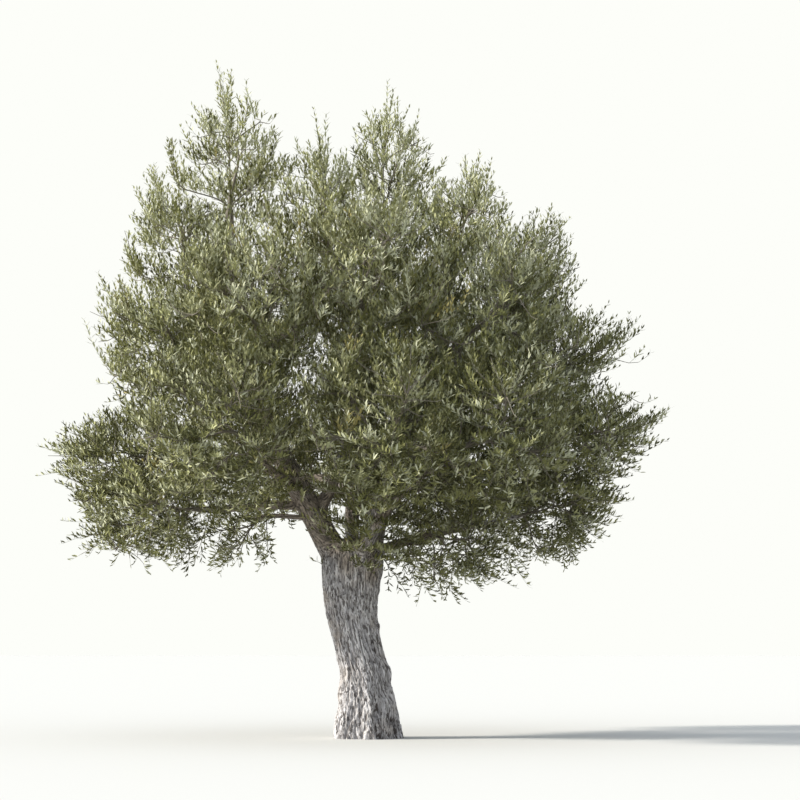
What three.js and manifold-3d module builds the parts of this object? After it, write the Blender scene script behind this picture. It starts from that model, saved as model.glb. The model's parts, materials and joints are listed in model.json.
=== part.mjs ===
// An old olive tree, about 3.8 m tall, rooted in level ground. Millimetres, +Z up.
// The origin is the middle of the flat cut under the trunk, and +X is to the right as the tree is seen
// from the front.
// Trunk, boughs and masses of foliage are separate closed solids, each one named mesh. Every mass
// grows from its bough's tip: a stem, branches on the stem, and blades that stand for sprays of leaves.
import * as THREE from "three";
import { mergeVertices } from "three/addons/utils/BufferGeometryUtils.js";
import Module from "manifold-3d";

const wasm = await Module();
wasm.setup();

// The trunk's stations from the ground up: height, sideways lean and half width.
const TRUNK_STATIONS = [
  [0, 0, 184],
  [165, -3, 160],
  [335, -15, 135],
  [510, -53, 129],
  [685, -86, 142],
  [860, -88, 163],
  [990, -80, 168],
  [1085, -78, 125],
];
const TRUNK_SIDES = 16;
const TRUNK_RINGS = 11;
const TRUNK_DEPTH = 0.94; // depth as a share of width
const ROOT_BUTTRESSES = 5;
const ROOT_FLARE = 0.09; // how far a buttress stands out at the ground, as a share of the radius
const FLARE_HEIGHT = 260;

const LIMB_SIDES = 8;
const BOUGH_SIDES = 6; // for boughs under the radius below at their base
const SLIM_BASE = 40;
const RING_GAP = 240; // from ring to ring along a bough
const BOUGH_TAPER = 0.8; // under 1, a bough thins fastest near its base
const BOUGH_TIP = 0.3; // radius at a bough's tip as a share of its base, for a bough one metre long
const JOINT_GAP = 0.3; // clear gap between a limb and the collar or stem that it meets
const COLLAR_CLEARANCE = 6; // how far a collar's face stands off its parent's bark
const BOUGH_ENTERS = 0.72; // how far from a mass's middle its bough ends, as a share of its reach

const TWIG_SIDES = 3; // of a mass's branches and of the stem that runs through it
const BRANCH_SPACING = 75; // a mass has one branch for each of these lengths in its reach
const TWIG_RADIUS = 7; // at a branch's base
const BLADE_LENGTH = 400; // one blade stands for a spray of leaves
const BLADE_WIDTH = 200;
const BLADE_THICKNESS = 22;
const BLADE_WIDEST = 0.55; // how far from a blade's root it is widest, as a share of its length
const FIRST_BLADE = 0.4; // where a twig's first blade grows, as a share of the twig's length
const BLADE_SUNK = 4; // how deep a blade's root is set in its twig
const BLADES = 3; // on each branch and on the stem
const HEADINGS = 12; // tried for each blade, of which the one with the most room is taken
const SIDE_SPREAD = [0.7, 1.36]; // sideways share of a blade's heading, from the first try to the last
const LAST_SPREAD = [0.1, 0.98]; // the same for the blade that carries a twig on
const OUTWARD_PULL = 0.2; // share of a blade's heading that points out of the crown
const SHORTEST_BLADE = 150; // a blade that its space cuts shorter is left out
const GOLDEN_ANGLE = Math.PI * (3 - Math.sqrt(5));
const MIDDLE_PLANE = 220; // a mass whose middle lies nearer than this to the plane y = 0
const DEPTH_STRETCH = 1.55; // reaches this many times as far in depth as to the sides
const SPACE_MARGIN = 4; // between a mass and the wall of its own space
const LIMB_MARGIN = 6; // between foliage and bark

const CROWN_HEART = new THREE.Vector3(-40, 0, 1800); // foliage grows away from here
const SEED = 83;

// Boughs in the order in which they branch. from is what carries the bough and at is where: a point
// inside the trunk, or a share of the parent bough's length. base is its radius there. via holds two
// points that draw its curve, where the curve isn't left to the rule. mass is the foliage at its tip:
// its middle, its reach and the tip of its leading shoot.
const BOUGHS = [
  {
    name: "left_limb", from: "trunk", at: [-118, 0, 880], base: 84, collar: 300,
    via: [[-430, -10, 1500], [-800, 40, 1950]],
    mass: { name: "left_peak_foliage", middle: [-780, 30, 3215], reach: 415, tip: [-777, 10, 3800] },
  },
  {
    name: "right_limb", from: "trunk", at: [-25, 10, 880], base: 78, collar: 330,
    via: [[90, 10, 1500], [330, 40, 1950]],
    mass: { name: "right_peak_foliage", middle: [520, -160, 2820], reach: 380, tip: [640, -160, 3235] },
  },
  {
    name: "front_limb", from: "trunk", at: [-60, -50, 870], base: 50, collar: 300,
    via: [[60, -330, 1330], [330, -560, 1400]],
    mass: { name: "front_right_low_foliage", middle: [660, -930, 1620], reach: 500 },
  },
  {
    name: "back_limb", from: "trunk", at: [-75, 60, 870], base: 54, collar: 310,
    via: [[-120, 330, 1400], [-60, 560, 1750]],
    mass: { name: "back_centre_high_foliage", middle: [-40, 900, 2520], reach: 500 },
  },
  {
    name: "right_low_bough", from: "trunk", at: [-20, -5, 985], base: 34, collar: 170,
    via: [[250, -20, 1110], [480, 10, 1130]],
    mass: { name: "right_skirt_foliage", middle: [1090, 160, 1280], reach: 370, tip: [1500, 160, 1310] },
  },
  {
    name: "top_limb", from: "left_limb", at: 0.17, base: 42,
    via: [[-70, 10, 1560], [-30, 90, 2100]],
    mass: { name: "top_centre_foliage", middle: [110, 170, 3140], reach: 400, tip: [110, 170, 3710] },
  },
  {
    name: "left_low_bough", from: "left_limb", at: 0.2, base: 30,
    via: [[-560, -60, 1290], [-700, -60, 1240]],
    mass: { name: "left_skirt_foliage", middle: [-1190, -120, 1250], reach: 390, tip: [-1700, -100, 1060] },
  },
  {
    name: "left_thin_bough", from: "left_limb", at: 0.17, base: 16,
    via: [[-380, -40, 1190], [-520, -80, 1230]],
    mass: { name: "left_inner_foliage", middle: [-720, -230, 1120], reach: 250, tip: [-868, -260, 870] },
  },
  {
    name: "left_side_bough", from: "left_limb", at: 0.34, base: 36,
    mass: { name: "left_side_foliage", middle: [-1420, 120, 1500], reach: 400, tip: [-1878, 60, 1610] },
  },
  {
    name: "left_upper_bough", from: "left_limb", at: 0.4, base: 32,
    via: [[-700, -10, 1780], [-870, -35, 1930]],
    mass: { name: "left_upper_foliage", middle: [-1120, -190, 2110], reach: 430, tip: [-1530, -190, 2540] },
  },
  {
    name: "left_shoulder_bough", from: "left_limb", at: 0.53, base: 28,
    via: [[-830, 20, 2100], [-1010, 15, 2400]],
    mass: { name: "left_shoulder_foliage", middle: [-1075, 170, 2790], reach: 390, tip: [-1255, 170, 3260] },
  },
  {
    name: "right_side_bough", from: "right_limb", at: 0.3, base: 36,
    mass: { name: "right_side_foliage", middle: [1210, -150, 1630], reach: 400, tip: [1722, -60, 1748] },
  },
  {
    name: "right_upper_bough", from: "right_limb", at: 0.46, base: 34,
    mass: { name: "right_upper_foliage", middle: [1070, 190, 2130], reach: 390, tip: [1640, 190, 2280] },
  },
  {
    name: "right_shoulder_bough", from: "right_limb", at: 0.64, base: 28,
    mass: { name: "right_shoulder_foliage", middle: [930, 180, 2620], reach: 345, tip: [1090, 180, 3020] },
  },
  {
    name: "right_inner_bough", from: "right_low_bough", at: 0.25, base: 16,
    mass: { name: "right_inner_foliage", middle: [520, -260, 1060], reach: 355, tip: [790, -300, 810] },
  },
  {
    name: "top_gap_bough", from: "top_limb", at: 0.55, base: 22,
    mass: { name: "top_gap_foliage", middle: [-300, -180, 2920], reach: 355, tip: [-240, -180, 3440] },
  },
  {
    name: "front_left_low_bough", from: "left_limb", at: 0.22, base: 36,
    mass: { name: "front_left_low_foliage", middle: [-750, -880, 1650], reach: 500 },
  },
  {
    name: "front_left_high_bough", from: "left_limb", at: 0.42, base: 34,
    mass: { name: "front_left_high_foliage", middle: [-590, -760, 2290], reach: 500 },
  },
  {
    name: "front_centre_low_bough", from: "front_limb", at: 0.42, base: 26,
    mass: { name: "front_centre_low_foliage", middle: [95, -980, 1640], reach: 500 },
  },
  {
    name: "front_centre_high_bough", from: "top_limb", at: 0.3, base: 32,
    mass: { name: "front_centre_high_foliage", middle: [0, -800, 2440], reach: 500 },
  },
  {
    name: "front_right_high_bough", from: "right_limb", at: 0.38, base: 34,
    mass: { name: "front_right_high_foliage", middle: [630, -740, 2240], reach: 500 },
  },
  {
    name: "back_left_low_bough", from: "back_limb", at: 0.4, base: 34,
    mass: { name: "back_left_low_foliage", middle: [-760, 900, 1620], reach: 500 },
  },
  {
    name: "back_left_high_bough", from: "left_limb", at: 0.52, base: 32,
    mass: { name: "back_left_high_foliage", middle: [-700, 780, 2380], reach: 500 },
  },
  {
    name: "back_centre_low_bough", from: "back_limb", at: 0.5, base: 28,
    mass: { name: "back_centre_low_foliage", middle: [-50, 1080, 1760], reach: 500 },
  },
  {
    name: "back_right_low_bough", from: "back_limb", at: 0.32, base: 34,
    mass: { name: "back_right_low_foliage", middle: [740, 880, 1580], reach: 500 },
  },
  {
    name: "back_right_high_bough", from: "right_limb", at: 0.5, base: 34,
    mass: { name: "back_right_high_foliage", middle: [650, 760, 2280], reach: 500 },
  },
];

const barkMaterial = new THREE.MeshStandardMaterial({ color: 0x8a8378, roughness: 0.95, metalness: 0 });
const foliageMaterial = new THREE.MeshStandardMaterial({ color: 0x6f7550, roughness: 0.6, metalness: 0 });

const vector = (point) => new THREE.Vector3(...point);

// A repeatable run of numbers from 0 to 1, which any language can work out again.
function seededRandom(seed) {
  const multiplier = 48271;
  const modulus = 2147483647;
  let state = seed;
  return () => {
    state = (state * multiplier) % modulus;
    return state / modulus;
  };
}

// A closed geometry as a solid, with its shared corners merged.
function toSolid(geometry) {
  const bare = geometry.clone();
  bare.deleteAttribute("normal");
  bare.deleteAttribute("uv");
  const merged = mergeVertices(bare, 1e-4);
  return new wasm.Manifold(
    new wasm.Mesh({
      numProp: 3,
      vertProperties: merged.attributes.position.array,
      triVerts: new Uint32Array(merged.index.array),
    }),
  );
}

// A solid as a geometry. Edges too short to matter are merged away, and only the largest body is
// kept, so that a loose scrap is dropped and a hollow that fusing sealed is filled.
function toGeometry(solid) {
  const shortestEdge = 0.05;
  const bodies = solid.simplify(shortestEdge).decompose();
  const largest = bodies.reduce((a, b) => (a.volume() > b.volume() ? a : b));
  const mesh = largest.getMesh();
  const geometry = new THREE.BufferGeometry();
  geometry.setAttribute("position", new THREE.BufferAttribute(mesh.vertProperties, 3));
  geometry.setIndex(new THREE.BufferAttribute(mesh.triVerts, 1));
  geometry.computeVertexNormals();
  return geometry;
}

// A closed tapering limb along part of a curve: a cylinder whose rings are carried to the curve,
// each turned as little as it can be from the ring before.
function limb(curve, from, to, radiusAt, sides, rings) {
  const geometry = new THREE.CylinderGeometry(1, 1, 1, sides, rings);
  const frames = [];
  let side = null;
  for (let ring = 0; ring <= rings; ring += 1) {
    const share = Math.min(1, from + ((to - from) * ring) / rings);
    const along = curve.getTangentAt(share);
    const guess = side ?? (Math.abs(along.x) < 0.7 ? new THREE.Vector3(1, 0, 0) : new THREE.Vector3(0, 1, 0));
    side = guess.clone().addScaledVector(along, -guess.dot(along)).normalize();
    frames.push({
      centre: curve.getPointAt(share),
      side: side.clone(),
      across: new THREE.Vector3().crossVectors(side, along).normalize(),
      radius: radiusAt(share),
    });
  }
  const place = geometry.attributes.position;
  for (let i = 0; i < place.count; i += 1) {
    const frame = frames[Math.round((place.getY(i) + 0.5) * rings)];
    const point = frame.centre
      .clone()
      .addScaledVector(frame.side, place.getX(i) * frame.radius)
      .addScaledVector(frame.across, place.getZ(i) * frame.radius);
    place.setXYZ(i, point.x, point.y, point.z);
  }
  return toSolid(geometry);
}

// The trunk's bare stem: level rings through the stations, with buttresses that die out upwards.
function trunkStem() {
  const profile = new THREE.CatmullRomCurve3(
    TRUNK_STATIONS.map(([height, lean, half]) => new THREE.Vector3(lean, half, height)),
  );
  const geometry = new THREE.CylinderGeometry(1, 1, 1, TRUNK_SIDES, TRUNK_RINGS);
  const place = geometry.attributes.position;
  for (let i = 0; i < place.count; i += 1) {
    const station = profile.getPoint(place.getY(i) + 0.5);
    const angle = Math.atan2(place.getZ(i), place.getX(i));
    const fade = Math.exp(-station.z / FLARE_HEIGHT);
    const spread = station.y * (1 + ROOT_FLARE * fade * Math.cos(ROOT_BUTTRESSES * angle));
    const x = station.x + place.getX(i) * spread;
    const y = -place.getZ(i) * spread * TRUNK_DEPTH;
    place.setXYZ(i, x, y, place.getY(i) === -0.5 ? 0 : station.z);
  }
  return toSolid(geometry);
}

// The curve of one bough, from inside its parent to where it enters its mass of foliage.
function boughCurve(bough, start, parentHeading) {
  const { middle, reach } = bough.mass;
  const centre = vector(middle);
  const towards = centre.clone().sub(start);
  const inwards = bough.via ? vector(bough.via[1]).sub(centre) : towards.clone().negate();
  const end = centre.clone().addScaledVector(inwards.normalize(), BOUGH_ENTERS * reach);
  if (bough.via) return new THREE.CubicBezierCurve3(start, vector(bough.via[0]), vector(bough.via[1]), end);
  const length = end.distanceTo(start);
  const leaving = parentHeading.clone().multiplyScalar(0.3).add(towards.clone().normalize()).normalize();
  const arriving = towards.clone().normalize().add(new THREE.Vector3(0, 0, 0.25)).normalize();
  return new THREE.CubicBezierCurve3(
    start,
    start.clone().addScaledVector(leaving, 0.4 * length),
    end.clone().addScaledVector(arriving, -0.35 * length),
    end,
  );
}

// How far along its own curve a bough clears the bark of the limb that carries it.
function collarLength(bough, parentRadius, parentHeading, heading) {
  if (bough.collar) return bough.collar;
  const angle = parentHeading.angleTo(heading);
  return (parentRadius + COLLAR_CLEARANCE + bough.base * Math.cos(angle)) / Math.sin(angle);
}

// Works out every bough: its curve, its radius along it and the collar that it grows from.
function growBoughs() {
  const grown = new Map();
  for (const bough of BOUGHS) {
    const parent = grown.get(bough.from);
    const start = parent ? parent.curve.getPointAt(bough.at) : vector(bough.at);
    const parentHeading = parent ? parent.curve.getTangentAt(bough.at) : new THREE.Vector3(0, 0, 1);
    const curve = boughCurve(bough, start, parentHeading);
    const length = curve.getLength();
    const tip = bough.base * Math.max(BOUGH_TIP, 1 - (1 - BOUGH_TIP) * (length / 1000));
    const radiusAt = (share) => THREE.MathUtils.lerp(bough.base, tip, share ** BOUGH_TAPER);
    const parentRadius = parent ? parent.radiusAt(bough.at) : 0;
    const collar = collarLength(bough, parentRadius, parentHeading, curve.getTangentAt(0)) / length;
    grown.set(bough.name, { ...bough, curve, length, radiusAt, collar });
  }
  return grown;
}

const sidesOf = (bough) => (bough.base < SLIM_BASE ? BOUGH_SIDES : LIMB_SIDES);

// The collars that a limb holds out to the boughs it carries.
function collarsOf(parentName, grown) {
  return [...grown.values()]
    .filter((bough) => bough.from === parentName)
    .map((bough) => limb(bough.curve, 0, bough.collar, bough.radiusAt, sidesOf(bough), bough.via ? 2 : 1));
}

function trunkSolid(grown) {
  const ground = 0;
  const whole = wasm.Manifold.union([trunkStem(), ...collarsOf("trunk", grown)]);
  return whole.trimByPlane([0, 0, 1], ground);
}

function boughSolid(bough, grown) {
  const first = bough.collar + JOINT_GAP / bough.length;
  const rings = Math.max(3, Math.round(bough.length / RING_GAP));
  const stem = limb(bough.curve, first, 1, bough.radiusAt, sidesOf(bough), rings);
  return wasm.Manifold.union([stem, ...collarsOf(bough.name, grown)]);
}

// Every limb as short straight lengths with a radius, and the trunk as a ball at each station, to
// keep foliage clear of the bark.
function barkLengths(grown) {
  const lengths = [];
  const steps = 14;
  for (const bough of grown.values()) {
    const points = bough.curve.getSpacedPoints(steps);
    for (let i = 0; i < steps; i += 1) {
      const line = new THREE.Line3(points[i], points[i + 1]);
      lengths.push({ line, radius: bough.radiusAt(i / steps) });
    }
  }
  for (const [height, lean, half] of TRUNK_STATIONS) {
    const centre = new THREE.Vector3(lean, 0, height);
    lengths.push({ line: new THREE.Line3(centre, centre), radius: half });
  }
  return lengths;
}

// One mass's own space: the points nearer to its middle than to any other mass's, less a margin.
function spaceOf(mass, masses) {
  const own = vector(mass.middle);
  return masses
    .filter((other) => other !== mass)
    .map((other) => {
      const normal = vector(other.middle).sub(own);
      const middle = vector(other.middle).add(own).multiplyScalar(0.5);
      normal.normalize();
      return { normal, limit: normal.dot(middle) - SPACE_MARGIN };
    });
}

const within = (space, point) => space.every((wall) => wall.normal.dot(point) < wall.limit);

// A point moved straight towards the middle until it lies in the mass's space.
function drawnIn(space, middle, point) {
  let share = 1;
  for (const wall of space) {
    const start = wall.normal.dot(middle);
    const end = wall.normal.dot(point);
    const inset = 25; // room for the twig and the blade at the wall
    if (end > wall.limit - inset) share = Math.min(share, (wall.limit - inset - start) / (end - start));
  }
  return middle.clone().lerp(point, share);
}

const nearest = new THREE.Vector3();
function clearOfBark(lengths, point, half) {
  return lengths.every(({ line, radius }) => {
    line.closestPointToPoint(point, true, nearest);
    return nearest.distanceTo(point) > radius + half + LIMB_MARGIN;
  });
}

// How much further a mass reaches in depth than to the sides.
const depthOf = (mass) => (Math.abs(mass.middle[1]) < MIDDLE_PLANE ? DEPTH_STRETCH : 1);

// The stem of a mass, from its bough's tip through its middle to the tip of its leading shoot.
function massStem(bough, outwards) {
  const { middle, reach, tip } = bough.mass;
  const heading = bough.curve.getTangentAt(1);
  const start = bough.curve.getPointAt(1).addScaledVector(heading, JOINT_GAP);
  const furthest = tip ? vector(tip) : vector(middle).addScaledVector(outwards, reach);
  const length = furthest.distanceTo(start);
  const end = furthest.clone().addScaledVector(furthest.clone().sub(start).normalize(), -BLADE_LENGTH);
  const curve = new THREE.CubicBezierCurve3(
    start,
    start.clone().addScaledVector(heading, 0.3 * length),
    end.clone().addScaledVector(outwards, -0.25 * length),
    end,
  );
  return { curve, furthest };
}

// The branches of a mass: each leaves the stem at a slant and runs straight to its own target, and
// the targets spiral evenly round the middle, near to it and far from it by turns.
function massBranches(bough, stem, space, random) {
  const middle = vector(bough.mass.middle);
  const start = stem.getPointAt(0);
  const axis = stem.getPointAt(1).sub(start);
  const turn = random() * 2 * Math.PI;
  const count = Math.round(bough.mass.reach / BRANCH_SPACING);
  const branches = [];
  for (let i = 0; i < count; i += 1) {
    const height = 1 - (2 * (i + 0.5)) / count;
    const angle = turn + i * GOLDEN_ANGLE;
    const level = Math.sqrt(1 - height * height);
    const depth = level * Math.sin(angle) * depthOf(bough.mass);
    const way = new THREE.Vector3(level * Math.cos(angle), depth, height);
    const stretch = bough.mass.reach * ((i % 2 ? 0.45 : 0.7) + 0.1 * random());
    const target = drawnIn(space, middle, middle.clone().addScaledVector(way, stretch));
    const along = target.clone().sub(start).dot(axis) / axis.lengthSq();
    const aside = target.distanceTo(start.clone().addScaledVector(axis, along)) / axis.length();
    const share = THREE.MathUtils.clamp(along - 0.9 * aside, 0.04, 0.85);
    branches.push(new THREE.LineCurve3(stem.getPointAt(share), target));
  }
  return branches;
}

// One blade: a long flat spindle of eight faces.
function bladeGeometry(root, heading, facing, length) {
  const across = new THREE.Vector3().crossVectors(facing, heading).normalize();
  const flat = new THREE.Vector3().crossVectors(heading, across).normalize();
  const width = (BLADE_WIDTH * length) / BLADE_LENGTH;
  const geometry = new THREE.OctahedronGeometry(1);
  const place = geometry.attributes.position;
  for (let i = 0; i < place.count; i += 1) {
    const along = place.getX(i);
    const share = BLADE_WIDEST + along * (along > 0 ? 1 - BLADE_WIDEST : BLADE_WIDEST);
    const point = root
      .clone()
      .addScaledVector(heading, share * length)
      .addScaledVector(across, (place.getY(i) * width) / 2)
      .addScaledVector(flat, (place.getZ(i) * BLADE_THICKNESS) / 2);
    place.setXYZ(i, point.x, point.y, point.z);
  }
  return geometry;
}

// True if the blade keeps to its mass's space and clear of every limb's bark.
function bladeFits(geometry, root, heading, length, room) {
  const place = geometry.attributes.position;
  for (let i = 0; i < place.count; i += 1)
    if (!within(room.space, new THREE.Vector3().fromBufferAttribute(place, i))) return false;
  const probes = [0, 0.2, 0.4, 0.6, 0.8, 1];
  return probes.every((share) => {
    const taper = share < BLADE_WIDEST ? share / BLADE_WIDEST : (1 - share) / (1 - BLADE_WIDEST);
    const point = root.clone().addScaledVector(heading, share * length);
    return clearOfBark(room.bark, point, (BLADE_WIDTH / 2) * taper);
  });
}

// How far a blade can grow before it passes its mass's reach or a wall of its space.
function clearRun(root, heading, room) {
  const squeeze = new THREE.Vector3(1, 1 / room.depth, 1);
  const offset = root.clone().sub(room.middle).multiply(squeeze);
  const way = heading.clone().multiply(squeeze);
  const slant = offset.dot(way);
  const beyond = way.lengthSq() * (room.reach ** 2 - offset.lengthSq());
  let run = (Math.sqrt(Math.max(0, slant * slant + beyond)) - slant) / way.lengthSq();
  for (const { normal, limit } of room.space) {
    const approach = normal.dot(heading);
    if (approach > 0) run = Math.min(run, (limit - normal.dot(root)) / approach);
  }
  return run;
}

// Points along a blade's middle line, by which the distance from blade to blade is judged.
const markers = (root, heading, length) =>
  [0.25, 0.5, 0.75, 1].map((share) => root.clone().addScaledVector(heading, share * length));

// How near a blade would lie to the blades that its mass already has.
function gapAround(points, taken) {
  let gap = BLADE_LENGTH;
  for (const point of points) for (const other of taken) gap = Math.min(gap, point.distanceTo(other));
  return gap;
}

// Blades along one twig, none past its space. Each takes the heading that keeps it furthest from the
// blades before it. The last one carries the twig on, as far as the furthest point where one is given.
function bladesOn(twig, room, outwards, random, furthest) {
  const solids = [];
  for (let i = 0; i < BLADES; i += 1) {
    const last = i === BLADES - 1;
    const share = THREE.MathUtils.lerp(FIRST_BLADE, 1, i / (BLADES - 1));
    const along = twig.getTangentAt(share);
    const root = twig.getPointAt(share).addScaledVector(along, -BLADE_SUNK);
    const tilt = new THREE.Vector3(random() - 0.5, random() - 0.5, random() - 0.2).normalize();
    const wanted = BLADE_LENGTH * (0.85 + 0.3 * random());
    const start = random() * 2 * Math.PI;
    let best = null;
    for (let k = 0; k < HEADINGS; k += 1) {
      const turn = start + k * GOLDEN_ANGLE;
      const side = new THREE.Vector3(Math.cos(turn), Math.sin(turn), 0.35);
      side.addScaledVector(along, -side.dot(along)).normalize();
      const leading = last && furthest;
      const spread = THREE.MathUtils.lerp(...(last ? LAST_SPREAD : SIDE_SPREAD), k / (HEADINGS - 1));
      const heading = leading
        ? furthest.clone().sub(root).normalize()
        : along.clone().addScaledVector(side, spread).addScaledVector(outwards, OUTWARD_PULL).normalize();
      const length = leading ? root.distanceTo(furthest) : Math.min(wanted, clearRun(root, heading, room));
      if (length < SHORTEST_BLADE) continue;
      const facing = last ? tilt : tilt.clone().multiplyScalar(0.1).add(side.clone().cross(along));
      const blade = bladeGeometry(root, heading, facing, length);
      if (!bladeFits(blade, root, heading, length, room)) continue;
      const points = markers(root, heading, length);
      const gap = gapAround(points, room.taken);
      if (!best || gap > best.gap) best = { blade, gap, points };
      if (leading) break;
    }
    if (!best) continue;
    solids.push(toSolid(best.blade));
    room.taken.push(...best.points);
  }
  return solids;
}

// A twig keeps to its space and off the bark all along.
function twigFits(twig, room) {
  const probes = 8;
  for (let i = 1; i <= probes; i += 1) {
    const point = twig.getPointAt(i / probes);
    if (!within(room.space, point) || !clearOfBark(room.bark, point, TWIG_RADIUS)) return false;
  }
  return true;
}

// One mass of foliage: stem, branches and blades fused into one body in the mass's own space.
function massSolid(bough, masses, bark, seed) {
  const random = seededRandom(seed);
  const middle = vector(bough.mass.middle);
  const { reach } = bough.mass;
  const room = { middle, reach, depth: depthOf(bough.mass), space: spaceOf(bough.mass, masses), bark, taken: [] };
  const outwards = middle.clone().sub(CROWN_HEART).normalize();
  const { curve: stem, furthest } = massStem(bough, outwards);
  const branches = massBranches(bough, stem, room.space, random);
  const stemAt = (share) => THREE.MathUtils.lerp(bough.radiusAt(1), TWIG_RADIUS / 2, share ** 0.7);
  const branchAt = (share) => TWIG_RADIUS * (1 - share / 2);
  const pieces = [limb(stem, 0, 1, stemAt, TWIG_SIDES, 2)];
  pieces.push(...bladesOn(stem, room, outwards, random, furthest));
  for (const branch of branches) {
    if (!twigFits(branch, room)) continue;
    pieces.push(limb(branch, 0, 1, branchAt, TWIG_SIDES, 1));
    pieces.push(...bladesOn(branch, room, outwards, random));
  }
  return wasm.Manifold.union(pieces);
}

function namedMesh(name, solid, material) {
  const mesh = new THREE.Mesh(toGeometry(solid), material);
  mesh.name = name;
  return mesh;
}

const tree = new THREE.Group();
const grown = growBoughs();
const masses = BOUGHS.map((bough) => bough.mass);
const bark = barkLengths(grown);
tree.add(namedMesh("trunk", trunkSolid(grown), barkMaterial));
for (const bough of grown.values()) tree.add(namedMesh(bough.name, boughSolid(bough, grown), barkMaterial));
[...grown.values()].forEach((bough, index) => {
  const foliage = massSolid(bough, masses, bark, SEED + 101 * index);
  tree.add(namedMesh(bough.mass.name, foliage, foliageMaterial));
});

export default tree;
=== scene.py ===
# An old olive tree, rooted in level ground: trunk and boughs in ridged bark, and a crown in which
# every twig, shoot and leaf grows on from the limbs by one rule.
# Metres, +Z up, +X to the right. The origin is the middle of the flat cut under the trunk.
import json
import math

import bmesh
import bpy
import numpy as np
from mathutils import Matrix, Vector

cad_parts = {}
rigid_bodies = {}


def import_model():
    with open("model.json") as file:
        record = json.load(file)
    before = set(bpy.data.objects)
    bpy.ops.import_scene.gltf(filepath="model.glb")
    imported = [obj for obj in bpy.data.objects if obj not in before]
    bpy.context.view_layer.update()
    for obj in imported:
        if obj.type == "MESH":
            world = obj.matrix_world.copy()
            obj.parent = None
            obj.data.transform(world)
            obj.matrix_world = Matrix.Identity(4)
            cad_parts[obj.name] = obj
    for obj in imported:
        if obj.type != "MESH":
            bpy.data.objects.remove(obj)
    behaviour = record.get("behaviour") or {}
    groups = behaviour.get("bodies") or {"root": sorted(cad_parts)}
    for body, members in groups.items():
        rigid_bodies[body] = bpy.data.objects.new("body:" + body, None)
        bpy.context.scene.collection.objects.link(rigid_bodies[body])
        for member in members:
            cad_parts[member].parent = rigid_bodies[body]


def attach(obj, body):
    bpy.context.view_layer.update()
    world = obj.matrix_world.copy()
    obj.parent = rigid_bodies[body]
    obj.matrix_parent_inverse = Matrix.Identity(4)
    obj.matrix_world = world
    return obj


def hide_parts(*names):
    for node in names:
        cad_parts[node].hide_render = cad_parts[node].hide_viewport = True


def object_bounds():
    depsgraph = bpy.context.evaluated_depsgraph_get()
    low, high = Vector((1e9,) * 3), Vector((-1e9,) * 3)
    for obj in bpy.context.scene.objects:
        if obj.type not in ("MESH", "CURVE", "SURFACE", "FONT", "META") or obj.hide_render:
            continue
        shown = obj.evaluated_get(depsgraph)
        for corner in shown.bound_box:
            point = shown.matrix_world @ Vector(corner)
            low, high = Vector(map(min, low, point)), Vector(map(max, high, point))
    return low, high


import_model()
model_low, model_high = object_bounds()
scene = bpy.context.scene


# Camera
# It stands at knee height in front of the tree, well back, and looks slightly up, so the floor runs out
# low in the picture and the crown fills its upper left.
IMAGE_WIDTH_PX = 800
FOCAL_LENGTH_PX = 1988
SENSOR_MM = 36
CAMERA_PLACE = (0.18, -11.0, 0.5)
CAMERA_TILT = math.radians(7.05)


def add_object(name, data):
    """Puts new data into the scene as an object at the origin."""
    made = bpy.data.objects.new(name, data)
    scene.collection.objects.link(made)
    return made


camera = add_object("camera", bpy.data.cameras.new("camera"))
camera.location = CAMERA_PLACE
camera.rotation_euler = (math.pi / 2 + CAMERA_TILT, 0, 0)
camera.data.sensor_width = SENSOR_MM
camera.data.lens = SENSOR_MM * FOCAL_LENGTH_PX / IMAGE_WIDTH_PX
scene.camera = camera


# Floor and light
# A plain pale floor under a near-white backdrop. A low sun with a soft edge stands to the left and a
# little in front, and the sky, brighter on that side, fills the shade.
FLOOR_HALF = 90
FLOOR_COLOUR = (0.824, 0.818, 0.8, 1)
FLOOR_GLOW = (0.4, 0.395, 0.37, 1)
BACKDROP_COLOUR = (0.982, 0.99, 0.947, 1)
SKY_COLOUR = (0.855, 0.925, 0.995, 1)
SKY_NEAR_SUN = 1.04
SKY_OPPOSITE = 0.32
SKY_FALLS_TOWARDS = (0.82, 0.57, 0)
SUN_COLOUR = (1.0, 0.955, 0.86)
SUN_STRENGTH = 4.6
SUN_HEIGHT = math.radians(25)
SUN_FORWARD = math.radians(8)
SUN_SOFTNESS = math.radians(5)


def add_node(tree, kind, inputs=None, **options):
    """Adds a node, sets its options and fills its inputs with values or outputs. A node stands for its
    first output."""
    made = tree.nodes.new(kind)
    for option, value in options.items():
        setattr(made, option, value)
    for socket, value in (inputs or {}).items():
        if isinstance(value, bpy.types.Node):
            value = value.outputs[0]
        if isinstance(value, bpy.types.NodeSocket):
            tree.links.new(value, made.inputs[socket])
        else:
            made.inputs[socket].default_value = value
    return made


def new_material(name):
    """A material and its empty node tree."""
    material = bpy.data.materials.new(name)
    material.use_nodes = True
    material.node_tree.nodes.clear()
    return material, material.node_tree


def floor_material():
    """A pale matt floor. It throws back less light than it shows, so the crown's underside stays dark."""
    material, tree = new_material("pale_floor")
    shown = add_node(tree, "ShaderNodeBsdfDiffuse", {"Color": FLOOR_COLOUR})
    thrown_back = add_node(tree, "ShaderNodeBsdfDiffuse", {"Color": FLOOR_GLOW})
    seen = add_node(tree, "ShaderNodeLightPath").outputs["Is Camera Ray"]
    paint = add_node(tree, "ShaderNodeMixShader", {0: seen, 1: thrown_back, 2: shown})
    add_node(tree, "ShaderNodeOutputMaterial", {"Surface": paint})
    return material


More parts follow.
